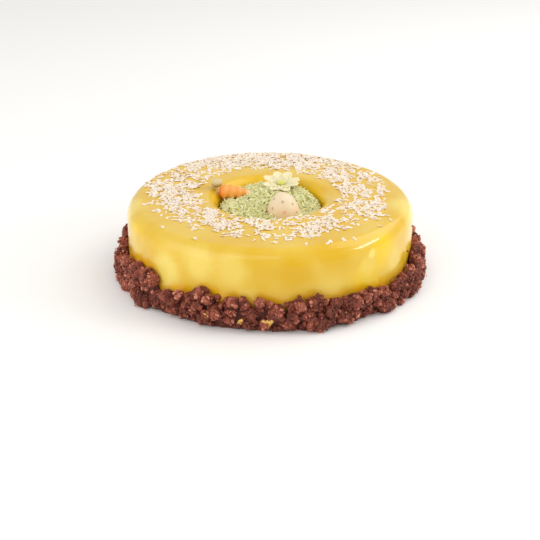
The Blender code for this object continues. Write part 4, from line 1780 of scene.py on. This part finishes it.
@dataclass
class SugarCarrot:
    """The orange root with its soft rings, and the pale knob at its head."""

    cake: CakeForm
    head: Vector = field(default_factory=lambda: Vector((-31.4, 11.3, 51.7)) * MM)
    tip: Vector = field(default_factory=lambda: Vector((-14.6, 14.5, 49.0)) * MM)
    head_radius: float = 5.1 * MM
    tip_radius: float = 2.0 * MM
    back_share: float = 0.8
    rings: int = 4
    ring_depth: float = 0.065
    ring_steps: int = 16
    taper: float = 2.2
    tip_round: float = 0.7
    # How full the shoulder starts, and how fast it fills.
    shoulder: Point = (0.42, 4.2)
    steps: int = 48
    relief: Point = (3 * MM, 0.7 * MM)
    stalk_relief: Point = (2.6 * MM, 0.7 * MM)
    stalk_draw: float = 0.12
    stalk_ribs: int = 5
    rib_depth: float = 0.05
    stalk_squash: float = 0.78
    stalk_radius: float = 4.2 * MM
    stalk_angle: float = math.radians(21)
    stalk_x: float = -37.6 * MM
    gap: float = 0.3 * MM

    def build(self) -> None:
        """Make the root and the stalk."""
        self._root()
        self._stalk()

    def _ring(self, share: float) -> float:
        """How far a ring swells at a share of the length, from -1 in a groove to 1."""
        return -math.cos(math.tau * self.rings * share)

    def _root(self) -> None:
        """Turn the root, and lay it from its head to its tip."""
        along = self.tip - self.head
        back = self.back_share * self.head_radius
        length = along.length + back
        count = self.ring_steps * self.rings
        profile = [(0.0, 0.0)]
        for i in range(count + 1):
            share = i / count
            thin = (self.head_radius - self.tip_radius) * share**self.taper
            shoulder = math.sqrt(min(1.0, self.shoulder[0] + self.shoulder[1] * share))
            swell = 1 + self.ring_depth * self._ring(share)
            profile.append(((self.head_radius - thin) * shoulder * swell, -length * share))
        drop = self.tip_radius * self.tip_round
        end = arc((0.0, -length), self.tip_radius, drop, 0.0, -math.pi / 2, 5)
        profile += end[1:-1] + [(0.0, -length - drop)]
        root = Bench.spun("sugar_carrot", profile, self.steps)
        shares = [min(1.0, max(0.0, -vertex.co.z / length)) for vertex in root.data.vertices]
        Bench.mark(root, "groove", [0.5 - 0.5 * self._ring(share) for share in shares])
        Bench.roughen(root, *self.relief)
        root.rotation_mode = "QUATERNION"
        root.rotation_quaternion = along.to_track_quat("-Z", "Y")
        root.location = self.head - along.normalized() * back
        Bench.bake(root)
        Bench.polish(root)
        sugar = CarrotSugar(self.head - along.normalized() * back, length)
        Bench.hand_over(root, sugar.material(), "orange_sugar", "carrot_root")

    def _stalk(self) -> None:
        """Model the knob: a ball drawn in towards the root, with a dented crown."""
        reach = self.cake.lip + self.stalk_radius + self.gap
        away = self.cake.mouth - reach * math.sin(self.stalk_angle)
        height = self.cake.height - self.cake.lip + reach * math.cos(self.stalk_angle)
        middle = Vector((self.stalk_x, math.sqrt(away**2 - self.stalk_x**2), height))
        Bench.clear()
        bpy.ops.mesh.primitive_ico_sphere_add(subdivisions=5, radius=self.stalk_radius)
        knob = bpy.context.object
        knob.name = "sugar_stalk"
        outward = (middle - self.head).normalized()
        for vertex in knob.data.vertices:
            way = vertex.co.normalized()
            facing = way.dot(outward)
            vertex.co *= 1 - self.stalk_draw * max(0.0, -facing)
            side = way - outward * facing
            turn = math.atan2(side.cross(Vector((0, 0, 1))).dot(outward), side.z)
            rib = self.rib_depth * math.cos(self.stalk_ribs * turn)
            vertex.co *= 1 + rib * max(0.0, facing) * side.length
            vertex.co.z *= self.stalk_squash
        knob.location = middle
        Bench.bake(knob)
        Bench.roughen(knob, *self.stalk_relief)
        Bench.polish(knob)
        # The stalk is painted darker under the knob and pale on its crown: painted shade and light.
        low, high = height - 3 * MM, height + 2 * MM
        sugar = MottledSugar("stalk sugar", srgb(158, 132, 78), srgb(216, 194, 146), low, high)
        Bench.hand_over(knob, sugar.material(), "pale_sugar", "carrot_stalk")


@dataclass
class SugarDaisy:
    """The white daisy that leans against the mound, and its yellow-green eye."""

    middle: Vector = field(default_factory=lambda: Vector((8.2, 22.0, 53.0)) * MM)
    tilt: float = math.radians(9)
    petals: int = 8
    root: float = 2.2 * MM
    length: float = 14.0 * MM
    width: float = 9.2 * MM
    thickness: float = 0.8 * MM
    lift: float = 2.6 * MM
    hollow: float = 0.9 * MM
    neck: float = 0.22
    curl: float = 1.6
    swell: Point = (0.20, 0.74)
    # Each vein's place as a share of the half width, its spread and its depth.
    vein: float = 0.35
    vein_spread: float = 0.012
    vein_depth: float = 0.3 * MM
    # A ripple across each petal and a frill along its edge, with the waves of each.
    ripple: float = 0.35 * MM
    ripple_waves: float = 9
    frill: float = 0.04
    frill_waves: float = 11
    # How the petals differ: in turn as a share of their spacing, in length and in lift.
    stray: Point = (-0.08, 0.08)
    lengths: Point = (0.94, 1.03)
    lifts: Point = (0.75, 1.3)
    beads: int = 70
    bead_radius: float = 0.36 * MM
    eye_radius: float = 2.9 * MM
    eye_height: float = 2.0 * MM

    def place(self) -> Matrix:
        """Where the daisy lies and how it leans."""
        return Matrix.Translation(self.middle) @ Matrix.Rotation(self.tilt, 4, "X")

    def build(self) -> None:
        """Make the petals as one piece, and the eye on them."""
        rng = random.Random(41)
        leaves = [self._petal(i, rng) for i in range(self.petals)]
        Bench.take(leaves[0])
        for leaf in leaves:
            leaf.select_set(True)
        bpy.ops.object.join()
        flower = bpy.context.object
        flower.name = "daisy_petals_sugar"
        flower.data.transform(self.place())
        Bench.polish(flower)
        sugar = PetalSugar(self.middle.copy(), self.length)
        Bench.hand_over(flower, sugar.material(), "white_sugar", "daisy_petals")
        self._eye(rng)

    def _petal(self, index: int, rng: random.Random) -> bpy.types.Object:
        """Model one petal from a grid.

        Args:
            index: Which petal it is, counted round the eye.
            rng: The source of its small differences.

        Returns:
            The petal, lying flat round the eye's middle.
        """
        turn = math.tau * (index + 0.35 + rng.uniform(*self.stray)) / self.petals
        length = self.length * rng.uniform(*self.lengths)
        lift = self.lift * rng.uniform(*self.lifts)
        Bench.clear()
        bpy.ops.mesh.primitive_grid_add(x_subdivisions=14, y_subdivisions=10, size=1.0)
        leaf = bpy.context.object
        veins = []
        for vertex in leaf.data.vertices:
            share, side = vertex.co.x + 0.5, vertex.co.y * 2
            swell = math.sin(math.pi * (self.swell[0] + self.swell[1] * share))
            half = self.width / 2 * (self.neck + (1 - self.neck) * swell)
            crease = math.exp(-((abs(side) - self.vein) ** 2) / self.vein_spread)
            crease *= ramp(share, 1.0, 0.6)
            veins.append(crease)
            rise = lift * share**self.curl + self.hollow * side**2 * math.sin(math.pi * share)
            rise += self.ripple * math.sin(self.ripple_waves * share + index) * abs(side)
            rise -= self.vein_depth * crease
            start = self.root * 0.3
            half *= 1 - self.frill * math.sin(self.frill_waves * share + index)
            vertex.co = Vector((start + (length - start) * share, half * side, rise))
        Bench.mark(leaf, "vein", veins)
        leaf.rotation_euler = (0.0, 0.0, turn)
        leaf.location.z = 0.05 * MM * (index % 2)
        Bench.bake(leaf)
        Bench.modify(leaf, "SOLIDIFY", thickness=self.thickness, offset=1.0)
        Bench.modify(leaf, "BEVEL", width=0.2 * MM, segments=2, limit_method="ANGLE")
        return leaf

    def _eye(self, rng: random.Random) -> None:
        """Turn the eye's dome and press small beads into it."""
        seat = self.thickness + 0.5 * MM
        dome = arc((0.0, seat), self.eye_radius, self.eye_height, math.pi / 2, 0.0, 10)
        profile = [(0.0, seat + self.eye_height)] + dome[1:] + [(0.0, seat - 0.2 * MM)]
        eye = Bench.spun("daisy_eye_sugar", profile, 32)
        bead = ball_form(2)
        heap = Heap("eye_beads")
        golden = math.pi * (3 - math.sqrt(5))
        for i in range(self.beads):
            share = (i + 0.5) / self.beads
            tip = math.acos(1 - share)
            up = seat + self.eye_height * math.cos(tip)
            spot = polar(i * golden, self.eye_radius * math.sin(tip), up)
            sides = Vector([self.bead_radius * rng.uniform(0.85, 1.15)] * 3)
            heap.add(bead, Matrix.LocRotScale(spot, None, sides), 0.5)
        beads = heap.joined()
        Bench.take(eye)
        beads.select_set(True)
        bpy.ops.object.join()
        eye.data.transform(self.place())
        Bench.polish(eye)
        # The eye is painted darker at its foot and lighter on its dome: painted shade and light.
        low = self.middle.z
        sugar = MottledSugar(
            "eye sugar", srgb(204, 198, 88), srgb(232, 228, 138), low, low + 3 * MM, 0.4 * MM
        )
        Bench.hand_over(eye, sugar.material(), "yellow_green_sugar", "daisy_eye")


@dataclass
class StrayCrumbs:
    """The few crumbs and shreds that stick to the glaze above the collar."""

    cake: CakeForm
    stand_off: float = 0.4
    sides: Point = (0.8, 1.3)
    relief: Point = (1.2 * MM, 0.6 * MM)
    # Direction in degrees from +X, height and radius in millimetres.
    crumbs: tuple[tuple[float, float, float], ...] = (
        (280.5, 22.8, 1.0), (339, 26.4, 0.8), (348, 38.6, 0.7), (118, 25.5, 0.9),
        (74, 26.0, 0.8), (33, 26.5, 0.9),
    )

    def build(self) -> None:
        """Press each crumb lightly into the glaze."""
        rng = random.Random(3)
        form = ball_form(3)
        heap = Heap("stray_crumbs")
        for turn, height, radius in self.crumbs:
            angle = math.radians(turn)
            spot = polar(angle, self.cake.radius + self.stand_off * radius * MM, height * MM)
            sides = uneven(rng, radius * MM, *self.sides)
            heap.add(form, Matrix.LocRotScale(spot, Euler((0, 0, angle)), sides), 0.5)
        crumbs = heap.joined()
        Bench.roughen(crumbs, *self.relief)
        Bench.polish(crumbs, 40)
        Bench.hand_over(crumbs, ChocolateCrumble().material(), "chocolate_crumble")


@dataclass(frozen=True)
class SoftLight:
    """One soft area light that faces the cake."""

    name: str
    place: tuple[float, float, float]
    size: Point
    power: float

    def build(self, aim: Vector) -> None:
        """Hang the light and turn it to the cake.

        Args:
            aim: The point that it faces.
        """
        lamp = bpy.data.lights.new(self.name, "AREA")
        lamp.shape = "RECTANGLE"
        lamp.size, lamp.size_y = self.size
        lamp.energy = self.power
        holder = bpy.data.objects.new(self.name, lamp)
        bpy.context.scene.collection.objects.link(holder)
        holder.location = self.place
        holder.rotation_euler = (aim - holder.location).to_track_quat("-Z", "Y").to_euler()


@dataclass
class Studio:
    """A plain pale floor, soft light, and the camera that looks down at the cake."""

    distance: float = 0.8
    elevation: float = math.radians(24.72)
    aim_height: float = -4.4 * MM
    focal: float = 73.87
    sensor: float = 36.0
    floor_size: float = 8.0
    sky: float = 0.73
    lights: tuple[SoftLight, ...] = (
        SoftLight("key light", (0.75, 0.30, 0.84), (1.1, 0.9), 4.5),
        SoftLight("streak light", (1.04, -0.12, 0.53), (0.50, 0.09), 2.6),
        SoftLight("left light", (-1.05, -0.65, 0.60), (1.3, 1.1), 6.0),
        SoftLight("front light", (-0.2, -1.1, 1.2), (0.9, 0.6), 2.0),
    )

    def build(self) -> None:
        """Set up floor, sky, lights and camera."""
        self._floor()
        self._sky()
        for light in self.lights:
            light.build(Vector((0, 0, 25 * MM)))
        self._camera()
        bpy.context.scene.view_settings.view_transform = "Standard"

    def _floor(self) -> None:
        """Lay the floor just under the cake."""
        Bench.clear()
        bpy.ops.mesh.primitive_plane_add(size=self.floor_size, location=(0, 0, -0.05 * MM))
        floor = bpy.context.object
        floor.name = "floor"
        Bench.bake(floor)
        floor.data.materials.append(PaleFloor().material())
        floor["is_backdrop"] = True

    def _sky(self) -> None:
        """Light the room evenly with a pale sky."""
        world = bpy.data.worlds.new("pale room")
        world.use_nodes = True
        background = world.node_tree.nodes["Background"]
        background.inputs["Color"].default_value = (1.0, 0.99, 0.97, 1.0)
        background.inputs["Strength"].default_value = self.sky
        bpy.context.scene.world = world

    def _camera(self) -> None:
        """Set the camera at the photograph's angle."""
        lens = bpy.data.cameras.new("camera")
        lens.lens = self.focal
        lens.sensor_width = self.sensor
        camera = bpy.data.objects.new("camera", lens)
        bpy.context.scene.collection.objects.link(camera)
        away = self.distance * math.cos(self.elevation)
        above = self.aim_height + self.distance * math.sin(self.elevation)
        camera.location = (0.0, -away, above)
        camera.rotation_euler = (math.pi / 2 - self.elevation, 0.0, 0.0)
        bpy.context.scene.camera = camera


def clear_of_garnish(egg: SugarEgg, carrot: SugarCarrot) -> Callable[[float, float], bool]:
    """Make the test that keeps green shreds out of the egg and the carrot.

    Args:
        egg: The egg that stands in the mound.
        carrot: The carrot that lies on it.

    Returns:
        A function that says whether a place is taken.
    """
    shreds_at, gap, root_share = 47 * MM, 0.3 * MM, 0.8
    level = shreds_at - egg.foot.z
    foot = egg.foot.xy + Vector((math.sin(egg.lean) * level, 0.0))

    def taken(x: float, y: float) -> bool:
        """Whether the egg or the carrot stands over a place."""
        here = Vector((x, y))
        if (here - foot).length < egg.width(level) + gap:
            return True
        along = carrot.tip.xy - carrot.head.xy
        share = min(1.0, max(-0.2, (here - carrot.head.xy).dot(along) / along.length_squared))
        thin = carrot.head_radius - (carrot.head_radius - carrot.tip_radius) * max(0.0, share)
        return (here - carrot.head.xy - along * share).length < thin * root_share

    return taken


def main() -> None:
    """Load the frame, build every sub-assembly in order and work out the bounds before and after."""
    logging.basicConfig(level=logging.INFO, format="%(message)s")
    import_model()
    frame_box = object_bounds()
    cake = CakeForm()
    egg = SugarEgg()
    carrot = SugarCarrot(cake)
    mound = GreenMound(MoundForm(), cake, clear_of_garnish(egg, carrot))
    collar = CrumbleCollar(cake)
    assemblies = (
        Studio(),
        GlazedBody(cake, collar.ridge),
        CoconutRing(cake),
        collar,
        mound,
        egg,
        carrot,
        SugarDaisy(),
        StrayCrumbs(cake),
    )
    for assembly in assemblies:
        LOG.info("building %s", type(assembly).__name__)
        assembly.build()
    boxes = {"frame": frame_box, "looks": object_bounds()}
    sizes = {name: [list(corner) for corner in box] for name, box in boxes.items()}


if __name__ == "__main__":
    main()
